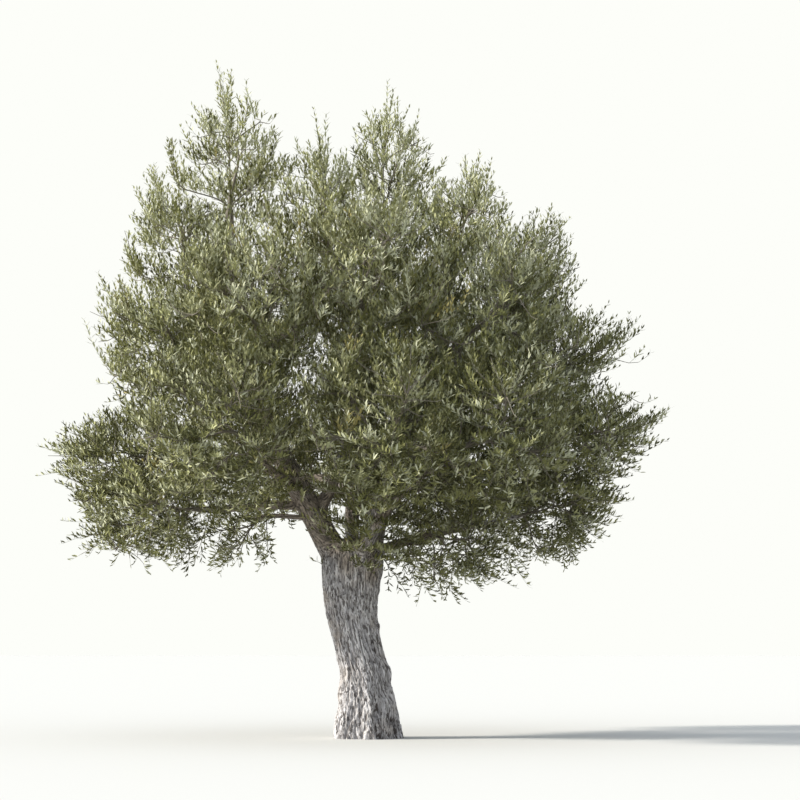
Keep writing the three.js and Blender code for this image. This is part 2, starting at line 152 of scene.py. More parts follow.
floor_mesh = bpy.data.meshes.new("floor")
floor_corners = [(x * FLOOR_HALF, y * FLOOR_HALF, 0) for x, y in ((-1, -1), (1, -1), (1, 1), (-1, 1))]
floor_mesh.from_pydata(floor_corners, [], [(0, 1, 2, 3)])
floor_mesh.materials.append(floor_material())
floor = add_object("floor", floor_mesh)

sky = bpy.data.worlds.new("studio_sky")
sky.use_nodes = True
sky_tree = sky.node_tree
sky_tree.nodes.clear()
sky_way = add_node(sky_tree, "ShaderNodeTexCoord").outputs["Generated"]
sky_sides = {0: sky_way, 1: SKY_FALLS_TOWARDS}
sky_side = add_node(sky_tree, "ShaderNodeVectorMath", sky_sides, operation="DOT_PRODUCT")
sky_range = {"From Min": -1.0, "From Max": 1.0, "To Min": SKY_NEAR_SUN, "To Max": SKY_OPPOSITE}
sky_fade = add_node(sky_tree, "ShaderNodeMapRange", {"Value": sky_side.outputs["Value"], **sky_range})
sky_light = add_node(sky_tree, "ShaderNodeBackground", {"Color": SKY_COLOUR, "Strength": sky_fade})
backdrop = add_node(sky_tree, "ShaderNodeBackground", {"Color": BACKDROP_COLOUR, "Strength": 1.0})
seen_directly = add_node(sky_tree, "ShaderNodeLightPath").outputs["Is Camera Ray"]
sky_mix = add_node(sky_tree, "ShaderNodeMixShader", {0: seen_directly, 1: sky_light, 2: backdrop})
add_node(sky_tree, "ShaderNodeOutputWorld", {"Surface": sky_mix})
scene.world = sky
scene.view_settings.view_transform = "Standard"

sun = add_object("sun", bpy.data.lights.new("sun", "SUN"))
sun.data.energy = SUN_STRENGTH
sun.data.color = SUN_COLOUR
sun.data.angle = SUN_SOFTNESS
sun_travel = Vector((
    math.cos(SUN_HEIGHT) * math.cos(SUN_FORWARD),
    math.cos(SUN_HEIGHT) * math.sin(SUN_FORWARD),
    -math.sin(SUN_HEIGHT),
))
sun.rotation_euler = sun_travel.to_track_quat("-Z", "Y").to_euler()


# The way the limbs run
# Five limbs leave the fork and the lesser boughs leave them. Each is one tapering curve that ends where
# it enters its mass of foliage, and the rule below draws it as the model's own solids are drawn.
BOUGH_TAPER = 0.8
BOUGH_TIP = 0.3
BOUGH_ENTERS = 0.72
LINE_POINTS = 201
# How strongly a bough's first heading keeps to its parent's and its last one rises, and the shares of
# its length over which it leaves and arrives straight.
KEEPS_HEADING = 0.3
LAST_RISE = 0.25
LEAVES_STRAIGHT = 0.4
ARRIVES_STRAIGHT = 0.35

# Boughs in the order in which they branch. at is a point inside the trunk, or a share of the parent
# bough's length. base is the radius there, and via holds the two points that draw the curve, where it
# isn't left to the rule. The mass at the tip has a middle, a reach and, on some, a leading tip. It has
# its bough's name where no other is given.
BOUGHS = [
    dict(name="left_limb", parent="trunk", at=(-0.118, 0, 0.88), base=0.084,
         via=((-0.43, -0.01, 1.5), (-0.8, 0.04, 1.95)),
         mass="left_peak_foliage", middle=(-0.78, 0.03, 3.215), reach=0.415, tip=(-0.777, 0.01, 3.8)),
    dict(name="right_limb", parent="trunk", at=(-0.025, 0.01, 0.88), base=0.078,
         via=((0.09, 0.01, 1.5), (0.33, 0.04, 1.95)),
         mass="right_peak_foliage", middle=(0.52, -0.16, 2.82), reach=0.38, tip=(0.64, -0.16, 3.235)),
    dict(name="front_limb", parent="trunk", at=(-0.06, -0.05, 0.87), base=0.05,
         via=((0.06, -0.33, 1.33), (0.33, -0.56, 1.4)),
         mass="front_right_low_foliage", middle=(0.66, -0.93, 1.62), reach=0.5),
    dict(name="back_limb", parent="trunk", at=(-0.075, 0.06, 0.87), base=0.054,
         via=((-0.12, 0.33, 1.4), (-0.06, 0.56, 1.75)),
         mass="back_centre_high_foliage", middle=(-0.04, 0.9, 2.52), reach=0.5),
    dict(name="right_low_bough", parent="trunk", at=(-0.02, -0.005, 0.985), base=0.034,
         via=((0.25, -0.02, 1.11), (0.48, 0.01, 1.13)),
         mass="right_skirt_foliage", middle=(1.09, 0.16, 1.28), reach=0.37, tip=(1.5, 0.16, 1.31)),
    dict(name="top_limb", parent="left_limb", at=0.17, base=0.042,
         via=((-0.07, 0.01, 1.56), (-0.03, 0.09, 2.1)),
         mass="top_centre_foliage", middle=(0.11, 0.17, 3.14), reach=0.4, tip=(0.11, 0.17, 3.71)),
    dict(name="left_low_bough", parent="left_limb", at=0.2, base=0.03,
         via=((-0.56, -0.06, 1.29), (-0.7, -0.06, 1.24)),
         mass="left_skirt_foliage", middle=(-1.19, -0.12, 1.25), reach=0.39, tip=(-1.7, -0.1, 1.06)),
    dict(name="left_thin_bough", parent="left_limb", at=0.17, base=0.016,
         via=((-0.38, -0.04, 1.19), (-0.52, -0.08, 1.23)),
         mass="left_inner_foliage", middle=(-0.72, -0.23, 1.12), reach=0.25, tip=(-0.868, -0.26, 0.87)),
    dict(name="left_side_bough", parent="left_limb", at=0.34, base=0.036,
         middle=(-1.42, 0.12, 1.5), reach=0.4, tip=(-1.878, 0.06, 1.61)),
    dict(name="left_upper_bough", parent="left_limb", at=0.4, base=0.032,
         via=((-0.7, -0.01, 1.78), (-0.87, -0.035, 1.93)),
         middle=(-1.12, -0.19, 2.11), reach=0.43, tip=(-1.53, -0.19, 2.54)),
    dict(name="left_shoulder_bough", parent="left_limb", at=0.53, base=0.028,
         via=((-0.83, 0.02, 2.1), (-1.01, 0.015, 2.4)),
         middle=(-1.075, 0.17, 2.79), reach=0.39, tip=(-1.255, 0.17, 3.26)),
    dict(name="right_side_bough", parent="right_limb", at=0.3, base=0.036,
         middle=(1.21, -0.15, 1.63), reach=0.4, tip=(1.722, -0.06, 1.748)),
    dict(name="right_upper_bough", parent="right_limb", at=0.46, base=0.034,
         middle=(1.07, 0.19, 2.13), reach=0.39, tip=(1.64, 0.19, 2.28)),
    dict(name="right_shoulder_bough", parent="right_limb", at=0.64, base=0.028,
         middle=(0.93, 0.18, 2.62), reach=0.345, tip=(1.09, 0.18, 3.02)),
    dict(name="right_inner_bough", parent="right_low_bough", at=0.25, base=0.016,
         middle=(0.52, -0.26, 1.06), reach=0.355, tip=(0.79, -0.3, 0.81)),
    dict(name="top_gap_bough", parent="top_limb", at=0.55, base=0.022,
         middle=(-0.3, -0.18, 2.92), reach=0.355, tip=(-0.24, -0.18, 3.44)),
    dict(name="front_left_low_bough", parent="left_limb", at=0.22, base=0.036,
         middle=(-0.75, -0.88, 1.65), reach=0.5),
    dict(name="front_left_high_bough", parent="left_limb", at=0.42, base=0.034,
         middle=(-0.59, -0.76, 2.29), reach=0.5),
    dict(name="front_centre_low_bough", parent="front_limb", at=0.42, base=0.026,
         middle=(0.095, -0.98, 1.64), reach=0.5),
    dict(name="front_centre_high_bough", parent="top_limb", at=0.3, base=0.032,
         middle=(0, -0.8, 2.44), reach=0.5),
    dict(name="front_right_high_bough", parent="right_limb", at=0.38, base=0.034,
         middle=(0.63, -0.74, 2.24), reach=0.5),
    dict(name="back_left_low_bough", parent="back_limb", at=0.4, base=0.034,
         middle=(-0.76, 0.9, 1.62), reach=0.5),
    dict(name="back_left_high_bough", parent="left_limb", at=0.52, base=0.032,
         middle=(-0.7, 0.78, 2.38), reach=0.5),
    dict(name="back_centre_low_bough", parent="back_limb", at=0.5, base=0.028,
         middle=(-0.05, 1.08, 1.76), reach=0.5),
    dict(name="back_right_low_bough", parent="back_limb", at=0.32, base=0.034,
         middle=(0.74, 0.88, 1.58), reach=0.5),
    dict(name="back_right_high_bough", parent="right_limb", at=0.5, base=0.034,
         middle=(0.65, 0.76, 2.28), reach=0.5),
]


def unit(vectors):
    """The same directions, each of length one."""
    return vectors / np.linalg.norm(vectors, axis=-1, keepdims=True)


class Line:
    """The middle line of a limb or twig, with points and headings at shares of its length."""

    def __init__(self, points):
        self.points = np.asarray(points, float)
        steps = np.linalg.norm(np.diff(self.points, axis=0), axis=1)
        self.run = np.append(0, np.cumsum(steps))
        self.length = self.run[-1]

    def at(self, share):
        reached = np.asarray(share) * self.length
        return np.stack([np.interp(reached, self.run, axis) for axis in self.points.T], -1)

    def heading(self, share):
        step = 0.004
        ahead = self.at(np.minimum(np.asarray(share) + step, 1))
        behind = self.at(np.maximum(np.asarray(share) - step, 0))
        return unit(ahead - behind)


def bend_through(start, first, second, end, count=LINE_POINTS):
    """A cubic curve between two ends, drawn by two points that it bends towards."""
    t = np.linspace(0, 1, count)[:, None]
    return Line(
        (1 - t) ** 3 * start + 3 * (1 - t) ** 2 * t * first + 3 * (1 - t) * t**2 * second + t**3 * end
    )


def bough_line(bough, start, parent_heading):
    """One bough's line, from inside its parent to where it enters its mass of foliage."""
    middle = np.array(bough["middle"], float)
    towards = unit(middle - start)
    via = bough.get("via")
    inwards = unit(np.array(via[1]) - middle) if via else -towards
    end = middle + inwards * BOUGH_ENTERS * bough["reach"]
    if via:
        return bend_through(start, np.array(via[0]), np.array(via[1]), end)
    length = np.linalg.norm(end - start)
    leaving = unit(KEEPS_HEADING * parent_heading + towards)
    arriving = unit(towards + (0, 0, LAST_RISE))
    first = start + leaving * LEAVES_STRAIGHT * length
    return bend_through(start, first, end - arriving * ARRIVES_STRAIGHT * length, end)


# Grown limbs by name. Each has its line, its radius at the tip and its mass.
limbs = {}
for bough in BOUGHS:
    parent = limbs.get(bough["parent"])
    start = parent["line"].at(bough["at"]) if parent else np.array(bough["at"], float)
    parent_heading = parent["line"].heading(bough["at"]) if parent else np.array((0, 0, 1.0))
    line = bough_line(bough, start, parent_heading)
    tip = bough["base"] * max(BOUGH_TIP, 1 - (1 - BOUGH_TIP) * line.length)
    mass = bough.get("mass", bough["name"].replace("_bough", "_foliage"))
    limbs[bough["name"]] = dict(bough, line=line, tip_radius=tip, mass=mass)


def radius_at(limb, share):
    """A limb's radius at shares of its length: it thins fastest near its base."""
    return limb["base"] + (limb["tip_radius"] - limb["base"]) * np.asarray(share) ** BOUGH_TAPER


# Trunk and fork
# The old trunk leans a little, narrows to a waist and swells again under the fork. Its bark is one skin
# with that of the limbs' first lengths: raised ridges, sunk furrows, clefts at the foot and knots. Its
# colour is paler on the ridge crests, partly silvery weathering and partly painted light, and darker in the
# furrows, cracks and clefts, which is painted shade.

# Height, sideways lean and half width of the trunk.
TRUNK_STATIONS = np.array([
    (0, 0, 0.184),
    (0.165, -0.003, 0.16),
    (0.335, -0.015, 0.135),
    (0.51, -0.053, 0.129),
    (0.685, -0.086, 0.142),
    (0.86, -0.088, 0.163),
    (0.99, -0.08, 0.168),
    (1.085, -0.078, 0.125),
])
TRUNK_DEPTH = 0.94
TRUNK_RINGS = 90
TRUNK_CORNERS = 72
ROOT_BUTTRESSES = 5
ROOT_FLARE = 0.09
FLARE_HEIGHT = 0.26
BELOW_CUT = 0.04
TRUNK_SKIN = 0.0048
# Where wood has grown together in the fork, how far that reaches, and how much it is smoothed.
FORK_MIDDLE = (-0.1, 0, 1.12)
FORK_STRETCH = (1.6, 1.2, 1)
FORK_REACH = 0.3
FORK_SOFTENING = 60
# How much of each limb's length is one skin with the trunk.
FORK_SHARES = dict(
    left_limb=0.36, right_limb=0.3, front_limb=0.3, back_limb=0.22,
    right_low_bough=0.35, top_limb=0.2, left_low_bough=0.3, left_thin_bough=0.3,
)
STUB_END = 0.72
STUB_RING_GAP = 0.02
STUB_CORNERS = 32
GRAIN_TWIST = 0.3
GRAIN_BLEND = 0.022
# Knots and burls: where they sit, how wide they are and how far they stand out. Each has a dimple.
KNOT_DIMPLE = 0.5
DIMPLE_NARROWER = 2.4
KNOTS = [
    ((0.07, -0.03, 0.61), 0.022, 0.016),
    ((-0.1, -0.13, 0.78), 0.03, 0.014),
    ((0.02, -0.16, 0.93), 0.045, 0.016),
    ((-0.17, -0.06, 0.42), 0.03, 0.012),
    ((-0.165, -0.04, 0.26), 0.05, 0.02),
    ((-0.19, -0.02, 0.07), 0.07, 0.022),
    ((0.11, -0.12, 0.2), 0.04, 0.018),
    ((0.115, -0.03, 0.36), 0.035, 0.02),
    ((-0.03, 0.14, 0.55), 0.04, 0.02),
    ((0.05, 0.12, 0.9), 0.035, 0.016),
]
# Clefts: their two ends, how wide and how deep they are. They wander a little, and are narrow from side
# to side and open from front to back.
CLEFT_WANDER = 0.012
CLEFT_SQUASH = (1, 0.35, 0.6)
CLEFTS = [
    ((0.075, -0.17, 0.0), (0.03, -0.125, 0.34), 0.016, 0.035),
    ((-0.045, -0.19, 0.0), (-0.075, -0.135, 0.27), 0.011, 0.02),
    ((0.165, -0.07, 0.0), (0.1, -0.07, 0.3), 0.014, 0.026),
    ((-0.02, -0.2, 0.03), (-0.045, -0.18, 0.15), 0.013, 0.028),
    ((0.02, -0.13, 0.42), (-0.02, -0.14, 0.83), 0.01, 0.018),
    ((0.055, -0.07, 0.45), (0.03, -0.1, 0.72), 0.01, 0.022),
    ((-0.14, -0.11, 0.6), (-0.16, -0.12, 0.95), 0.01, 0.016),
    ((-0.08, 0.16, 0.0), (-0.09, 0.13, 0.5), 0.016, 0.03),
    ((0.1, 0.13, 0.1), (0.03, 0.14, 0.7), 0.013, 0.024),
]
# How deep clefts have to be for the painted shade in them to be at its darkest.
CLEFT_SHADE_DEPTH = 0.017
# Width and length of the marks in the bark.
RIDGE_SIZE = (0.0155, 0.21)
FURROW_SIZE = (0.05, 0.34)
CRACK_SIZE = (0.016, 0.075)
FIBRE_SIZE = (0.0045, 0.04)
FLECK_SIZE = (0.008, 0.038)


def smooth_through(known, values, at):
    """Values between stations, on a smooth curve through all of them."""
    slopes = np.gradient(values, known)
    i = np.clip(np.searchsorted(known, at) - 1, 0, len(known) - 2)
    gap = known[i + 1] - known[i]
    t = (at - known[i]) / gap
    leaving = (1 + 2 * t) * (1 - t) ** 2 * values[i] + t * (1 - t) ** 2 * gap * slopes[i]
    arriving = t**2 * (3 - 2 * t) * values[i + 1] - t**2 * (1 - t) * gap * slopes[i + 1]
    return leaving + arriving


def ring_frames(line, shares, side):
    """The middle, side and across of rings on a line. The side is carried up it without a twist."""
    carried = []
    steps = np.linspace(0, 1, 101)
    for heading in line.heading(steps):
        side = unit(side - side @ heading * heading)
        carried.append(side)
    headings = line.heading(shares)
    sides = np.stack([np.interp(shares, steps, axis) for axis in np.transpose(carried)], -1)
    sides = unit(sides - np.einsum("ij,ij->i", sides, headings)[:, None] * headings)
    return line.at(shares), sides, np.cross(headings, sides)


def tube(line, shares, radii, side):
    """A closed tube along a line, from a radius for each ring and each corner on it.
    It gives the corners, the faces, and each corner's place in the grain: aside, across and along."""
    middles, sides, acrosses = ring_frames(line, shares, side)
    rings, corners = radii.shape
    angles = np.arange(corners) * 2 * math.pi / corners
    aside = radii * np.cos(angles)
    across = radii * np.sin(angles)
    points = middles[:, None] + aside[..., None] * sides[:, None] + across[..., None] * acrosses[:, None]
    along = np.repeat(np.asarray(shares)[:, None] * line.length, corners, 1)
    grain = np.stack([aside, across, along], -1)
    beside = [(corner + 1) % corners for corner in range(corners)]
    faces = []
    for low in range(0, (rings - 1) * corners, corners):
        high = low + corners
        faces.extend((low + i, low + j, high + j, high + i) for i, j in enumerate(beside))
    foot, top, last = rings * corners, rings * corners + 1, (rings - 1) * corners
    for i, j in enumerate(beside):
        faces.extend([(foot, j, i), (top, last + i, last + j)])
    points = np.vstack([points.reshape(-1, 3), middles[:1], middles[-1:]])
    ends = [(0, 0, along[0, 0]), (0, 0, along[-1, 0])]
    grain = np.vstack([grain.reshape(-1, 3), ends])
    return points, faces, grain


def join(tubes):
    """Several tubes as one list of corners, faces and grain."""
    points, faces, grain = [], [], []
    count = 0
    for part_points, part_faces, part_grain in tubes:
        points.append(part_points)
        grain.append(part_grain)
        faces.extend([tuple(corner + count for corner in face) for face in part_faces])
        count += len(part_points)
    return np.vstack(points), faces, np.vstack(grain)


def mesh_object(name, points, faces, edges=()):
    """A mesh object from corners and faces."""
    mesh = bpy.data.meshes.new(name)
    mesh.from_pydata(points.tolist(), list(edges), faces)
    return add_object(name, mesh)


def set_attribute(mesh, name, kind, values):
    """Stores one value for each of a mesh's points."""
    attribute = mesh.attributes.new(name, kind, "POINT")
    field = "vector" if kind == "FLOAT_VECTOR" else "value"
    attribute.data.foreach_set(field, np.ascontiguousarray(values).ravel())


def corners_of(mesh, field="co"):
    """A mesh's corners, or another field of them, as an array."""
    flat = np.zeros(len(mesh.vertices) * 3, np.float32)
    mesh.vertices.foreach_get(field, flat)
    return flat.reshape(-1, 3).astype(float)


def finished_mesh(made):
    """Turns an object's modifiers into plain geometry and takes them off."""
    evaluated = made.evaluated_get(bpy.context.evaluated_depsgraph_get())
    plain = bpy.data.meshes.new_from_object(evaluated)
    made.modifiers.clear()
    old = made.data
    made.data = plain
    bpy.data.meshes.remove(old)
    plain.name = made.name


trunk_heights = np.linspace(-BELOW_CUT, TRUNK_STATIONS[-1, 0], TRUNK_RINGS)
station_heights = np.maximum(trunk_heights, 0)
known_heights, known_lean, known_half = TRUNK_STATIONS.T
trunk_lean = smooth_through(known_heights, known_lean, station_heights)
trunk_half = smooth_through(known_heights, known_half, station_heights)
trunk_line = Line(np.stack([trunk_lean, 0 * trunk_lean, trunk_heights], -1))
TRUNK_SIDE = np.array((1.0, 0, 0))

# Where each limb's grain starts in its parent's, so that the grain flows from one into the other.
for limb in limbs.values():
    parent = limbs.get(limb["parent"])
    if parent:
        along = np.array([limb["at"]])
        limb["side"] = ring_frames(parent["line"], along, parent["side"])[1][0]
        limb["grain_start"] = parent["grain_start"] + (0, 0, limb["at"] * parent["line"].length)
    else:
        height = limb["at"][2]
        lean = np.interp(height, trunk_heights, trunk_lean)
        limb["side"] = TRUNK_SIDE
        limb["grain_start"] = np.array((limb["at"][0] - lean, limb["at"][1], height))


def trunk_tube():
    """The trunk's bare stem: level rings with buttresses that die out upwards."""
    angles = np.arange(TRUNK_CORNERS) * 2 * math.pi / TRUNK_CORNERS
    fade = np.exp(-station_heights / FLARE_HEIGHT)[:, None]
    spread = trunk_half[:, None] * (1 + ROOT_FLARE * fade * np.cos(ROOT_BUTTRESSES * angles))
    points, faces, grain = tube(trunk_line, trunk_line.run / trunk_line.length, spread, TRUNK_SIDE)
    points[:, 1] *= TRUNK_DEPTH
    return points, faces, grain


def limb_tube(limb, first, last, ring_gap, corners, radius_rule):
    """A limb's tube between two shares of its length."""
    rings = max(4, round((last - first) * limb["line"].length / ring_gap))
    shares = np.linspace(first, last, rings + 1)
    radii = np.repeat(radius_rule(limb, shares)[:, None], corners, 1)
    points, faces, grain = tube(limb["line"], shares, radii, limb["side"])
    return points, faces, grain + limb["grain_start"]


def stub_radius(limb, shares):
    """A limb's radius on the trunk's skin: it dips under the limb's own bark at the end."""
    end = FORK_SHARES[limb["name"]]
    fade = np.clip((end - shares) * limb["line"].length / (2 * limb["base"]), 0, 1)
    return radius_at(limb, shares) * (STUB_END + (1 - STUB_END) * np.sqrt(fade))


stubs = [
    limb_tube(limbs[name], 0, end, STUB_RING_GAP, STUB_CORNERS, stub_radius)
    for name, end in FORK_SHARES.items()
]
points, faces, _ = join([trunk_tube(), *stubs])
trunk_bark = mesh_object("trunk_bark", points, faces)
skin = trunk_bark.modifiers.new("one_skin", "REMESH")
skin.mode = "VOXEL"
skin.voxel_size = TRUNK_SKIN
finished_mesh(trunk_bark)

off_fork = (corners_of(trunk_bark.data) - np.array(FORK_MIDDLE)) / FORK_STRETCH
softness = np.clip(1 - np.linalg.norm(off_fork, axis=1) / FORK_REACH, 0, 1)
fork_group = trunk_bark.vertex_groups.new(name="fork")
for tenths in range(1, 11):
    members = np.flatnonzero(np.round(softness * 10) == tenths)
    fork_group.add(members.tolist(), tenths / 10, "REPLACE")
soften = trunk_bark.modifiers.new("grown_together", "SMOOTH")
soften.factor = 0.6
soften.iterations = FORK_SOFTENING
soften.vertex_group = "fork"
finished_mesh(trunk_bark)

# How far past its end a limb's grain still counts as its own.
PAST_END = 0.03


def place_on(line, shares, half_widths, side, points):
    """How far points lie off a limb's bark, and their place in its own grain."""
    middles, sides, acrosses = ring_frames(line, shares, side)
    headings = line.heading(shares)
    nearest = np.zeros(len(points), int)
    closest = np.full(len(points), np.inf)
    for i, middle in enumerate(middles):
        distance = np.linalg.norm(points - middle, axis=1)
        nearest[distance < closest] = i
        closest = np.minimum(closest, distance)
    offset = points - middles[nearest]
    ahead = np.einsum("ij,ij->i", offset, headings[nearest])
    outwards = offset - ahead[:, None] * headings[nearest]
    aside = np.einsum("ij,ij->i", outwards, sides[nearest])
    across = np.einsum("ij,ij->i", outwards, acrosses[nearest])
    along = shares[nearest] * line.length + ahead
    off_bark = np.linalg.norm(outwards, axis=1) - half_widths[nearest]
    off_bark += np.maximum(0, np.abs(ahead) - PAST_END)
    return off_bark, half_widths[nearest], np.stack([aside, across, along], -1)


def fork_grain(points):
    """The grain of trunk and limbs, which flow into each other where they meet, and the girth."""
    trunk_shares = trunk_line.run / trunk_line.length
    parts = [(trunk_line, trunk_shares, trunk_half, TRUNK_SIDE, np.array((0, 0, -BELOW_CUT)))]
    for name, end in FORK_SHARES.items():
        limb = limbs[name]
        shares = np.linspace(0, end, 48)
        parts.append((limb["line"], shares, radius_at(limb, shares), limb["side"], limb["grain_start"]))
    total = np.zeros(len(points))
    grain = np.zeros((len(points), 3))
    girth = np.zeros(len(points))
    for line, shares, half_widths, side, grain_start in parts:
        off_bark, half_width, place = place_on(line, shares, half_widths, side, points)
        weight = np.exp(-np.clip(off_bark, -0.05, 0.6) / GRAIN_BLEND)
        total += weight
        grain += weight[:, None] * (place + grain_start)
        girth += weight * half_width
    return grain / total[:, None], girth / total


def twisted(grain):
    """The grain turned slowly round the limb as it climbs."""
    turn = GRAIN_TWIST * grain[:, 2]
    aside = grain[:, 0] * np.cos(turn) - grain[:, 1] * np.sin(turn)
    across = grain[:, 0] * np.sin(turn) + grain[:, 1] * np.cos(turn)
    return np.stack([aside, across, grain[:, 2]], -1)


def carve(points):
    """How far knots raise the trunk and clefts cut into it, along each point's normal."""
    rise = np.zeros(len(points))
    for place, width, height in KNOTS:
        distance = np.linalg.norm(points - place, axis=1) / width
        rise += height * np.exp(-(distance**2))
        rise -= KNOT_DIMPLE * height * np.exp(-((DIMPLE_NARROWER * distance) ** 2))
    for start, end, width, depth in CLEFTS:
        start, end = np.array(start), np.array(end)
        length = np.linalg.norm(end - start)
        along = np.clip((points - start) @ (end - start) / length**2, 0, 1)
        wander = CLEFT_WANDER * np.sin(along * 9 + start[0] * 40)[:, None] * (1, 0.3, 0)
        offset = points - start - along[:, None] * (end - start) - wander
        distance = np.linalg.norm(offset * CLEFT_SQUASH, axis=1)
        rise -= depth * (1 - along**2) * np.exp(-((distance / width) ** 2))
    return rise


trunk_points = corners_of(trunk_bark.data)
trunk_grain, trunk_girth = fork_grain(trunk_points)
trunk_carving = carve(trunk_points)
trunk_points += corners_of(trunk_bark.data, "normal") * trunk_carving[:, None]
trunk_bark.data.vertices.foreach_set("co", trunk_points.astype(np.float32).ravel())
set_attribute(trunk_bark.data, "grain", "FLOAT_VECTOR", twisted(trunk_grain))
set_attribute(trunk_bark.data, "girth", "FLOAT", trunk_girth)
# How far each point is sunk into clefts, which the bark darkens as painted shade.
set_attribute(trunk_bark.data, "cleft", "FLOAT", np.clip(-trunk_carving / CLEFT_SHADE_DEPTH, 0, 1))


def maths(tree, operation, *values):
    """One step of arithmetic in a node tree."""
    return add_node(tree, "ShaderNodeMath", dict(enumerate(values)), operation=operation)


def between(tree, value, low, high, at_low, at_high):
    """A value carried smoothly from one range to another."""
    inputs = {"Value": value, "From Min": low, "From Max": high, "To Min": at_low, "To Max": at_high}
    return add_node(tree, "ShaderNodeMapRange", inputs, interpolation_type="SMOOTHSTEP")


def noise(tree, place, scale, detail, **more):
    """Soft noise from 0 to 1 over a place."""
    return add_node(tree, "ShaderNodeTexNoise", {"Vector": place, "Scale": scale, "Detail": detail, **more})


def grain_noise(tree, grain, across, along, detail, **more):
    """Noise in steps of a given width across the limb and a given length along it."""
    steps = (1 / across, 1 / across, 1 / along)
    place = add_node(tree, "ShaderNodeVectorMath", {0: grain, 1: steps}, operation="MULTIPLY")
    return noise(tree, place, 1, detail, **more)


def veins(tree, grain, across, along, width):
    """Thin wandering lines up the limb, where a stretched noise crosses its middle value."""
    wandering = grain_noise(tree, grain, across, along, 2.5, Distortion=0.35)
    off_middle = maths(tree, "ABSOLUTE", maths(tree, "SUBTRACT", wandering, 0.5))
    return between(tree, off_middle, 0.0, width, 1, 0)


def bark_texture(tree, grain):
    """Ridges, the furrows between them and short cracks, each as one number over the grain."""
    ridges = grain_noise(tree, grain, *RIDGE_SIZE, 4, Roughness=0.6)
    furrows = veins(tree, grain, *FURROW_SIZE, 0.055)
    cracks = veins(tree, grain, *CRACK_SIZE, 0.08)
    return ridges, furrows, cracks


def new_group(name, **inputs):
    """Geometry nodes with a geometry input, the named inputs of the given kinds, and a geometry output."""
    tree = bpy.data.node_groups.new(name, "GeometryNodeTree")
    for label, kind in {"Geometry": "Geometry", **inputs}.items():
        tree.interface.new_socket(label, in_out="INPUT", socket_type=f"NodeSocket{kind}")
    tree.interface.new_socket("Geometry", in_out="OUTPUT", socket_type="NodeSocketGeometry")
    return tree, add_node(tree, "NodeGroupInput").outputs


def named(tree, name, kind):
    """A value that each point of a mesh carries."""
    return add_node(tree, "GeometryNodeInputNamedAttribute", {"Name": name}, data_type=kind)


def apply_group(made, tree, **values):
    """Runs geometry nodes on an object, with their inputs set, and keeps what comes out as a plain mesh."""
    grown = made.modifiers.new(tree.name, "NODES")
    grown.node_group = tree
    for socket in tree.interface.items_tree:
        if socket.in_out == "INPUT" and socket.name in values:
            grown[socket.identifier] = values[socket.name]
    finished_mesh(made)


def relief_tree():
    """Lifts ridges and sinks furrows and cracks in a bark mesh, in keeping with the limb's girth."""
    tree, given = new_group("bark_relief", ridge="Float", furrow="Float", crack="Float")
    grain, girth = named(tree, "grain", "FLOAT_VECTOR"), named(tree, "girth", "FLOAT")
    ridges, furrows, cracks = bark_texture(tree, grain)
    raised = maths(tree, "MULTIPLY", maths(tree, "SUBTRACT", ridges, 0.5), given["ridge"])
    sunk = maths(tree, "MULTIPLY", furrows, given["furrow"])
    cracked = maths(tree, "MULTIPLY", cracks, given["crack"])
    height = maths(tree, "SUBTRACT", maths(tree, "SUBTRACT", raised, sunk), cracked)
    height = maths(tree, "MULTIPLY", height, girth)
    normal = add_node(tree, "GeometryNodeInputNormal")
    offset = add_node(tree, "ShaderNodeVectorMath", {0: normal, "Scale": height}, operation="SCALE")
    moved = add_node(tree, "GeometryNodeSetPosition", {"Geometry": given["Geometry"], "Offset": offset})
    smooth = add_node(tree, "GeometryNodeSetShadeSmooth", {"Geometry": moved})
    add_node(tree, "NodeGroupOutput", {"Geometry": smooth})
    return tree


bark_relief = relief_tree()
# Bark colours. BARK_PALE on the raised ridge crests is partly painted light, and BARK_DARK, where it fills
# furrows, cracks and clefts, is painted shade; elsewhere it is the dark of fibres, flecks and blotches.
BARK_RIDGE = (0.765, 0.737, 0.757, 1)
BARK_PALE = (0.95, 0.915, 0.915, 1)
BARK_BROWN = (0.57, 0.465, 0.37, 1)
BARK_DARK = (0.1, 0.085, 0.078, 1)


def mixed(tree, share, first, second):
    """Two colours mixed by a share from 0 to 1."""
    return add_node(tree, "ShaderNodeMix", {0: share, 6: first, 7: second}, data_type="RGBA").outputs[2]


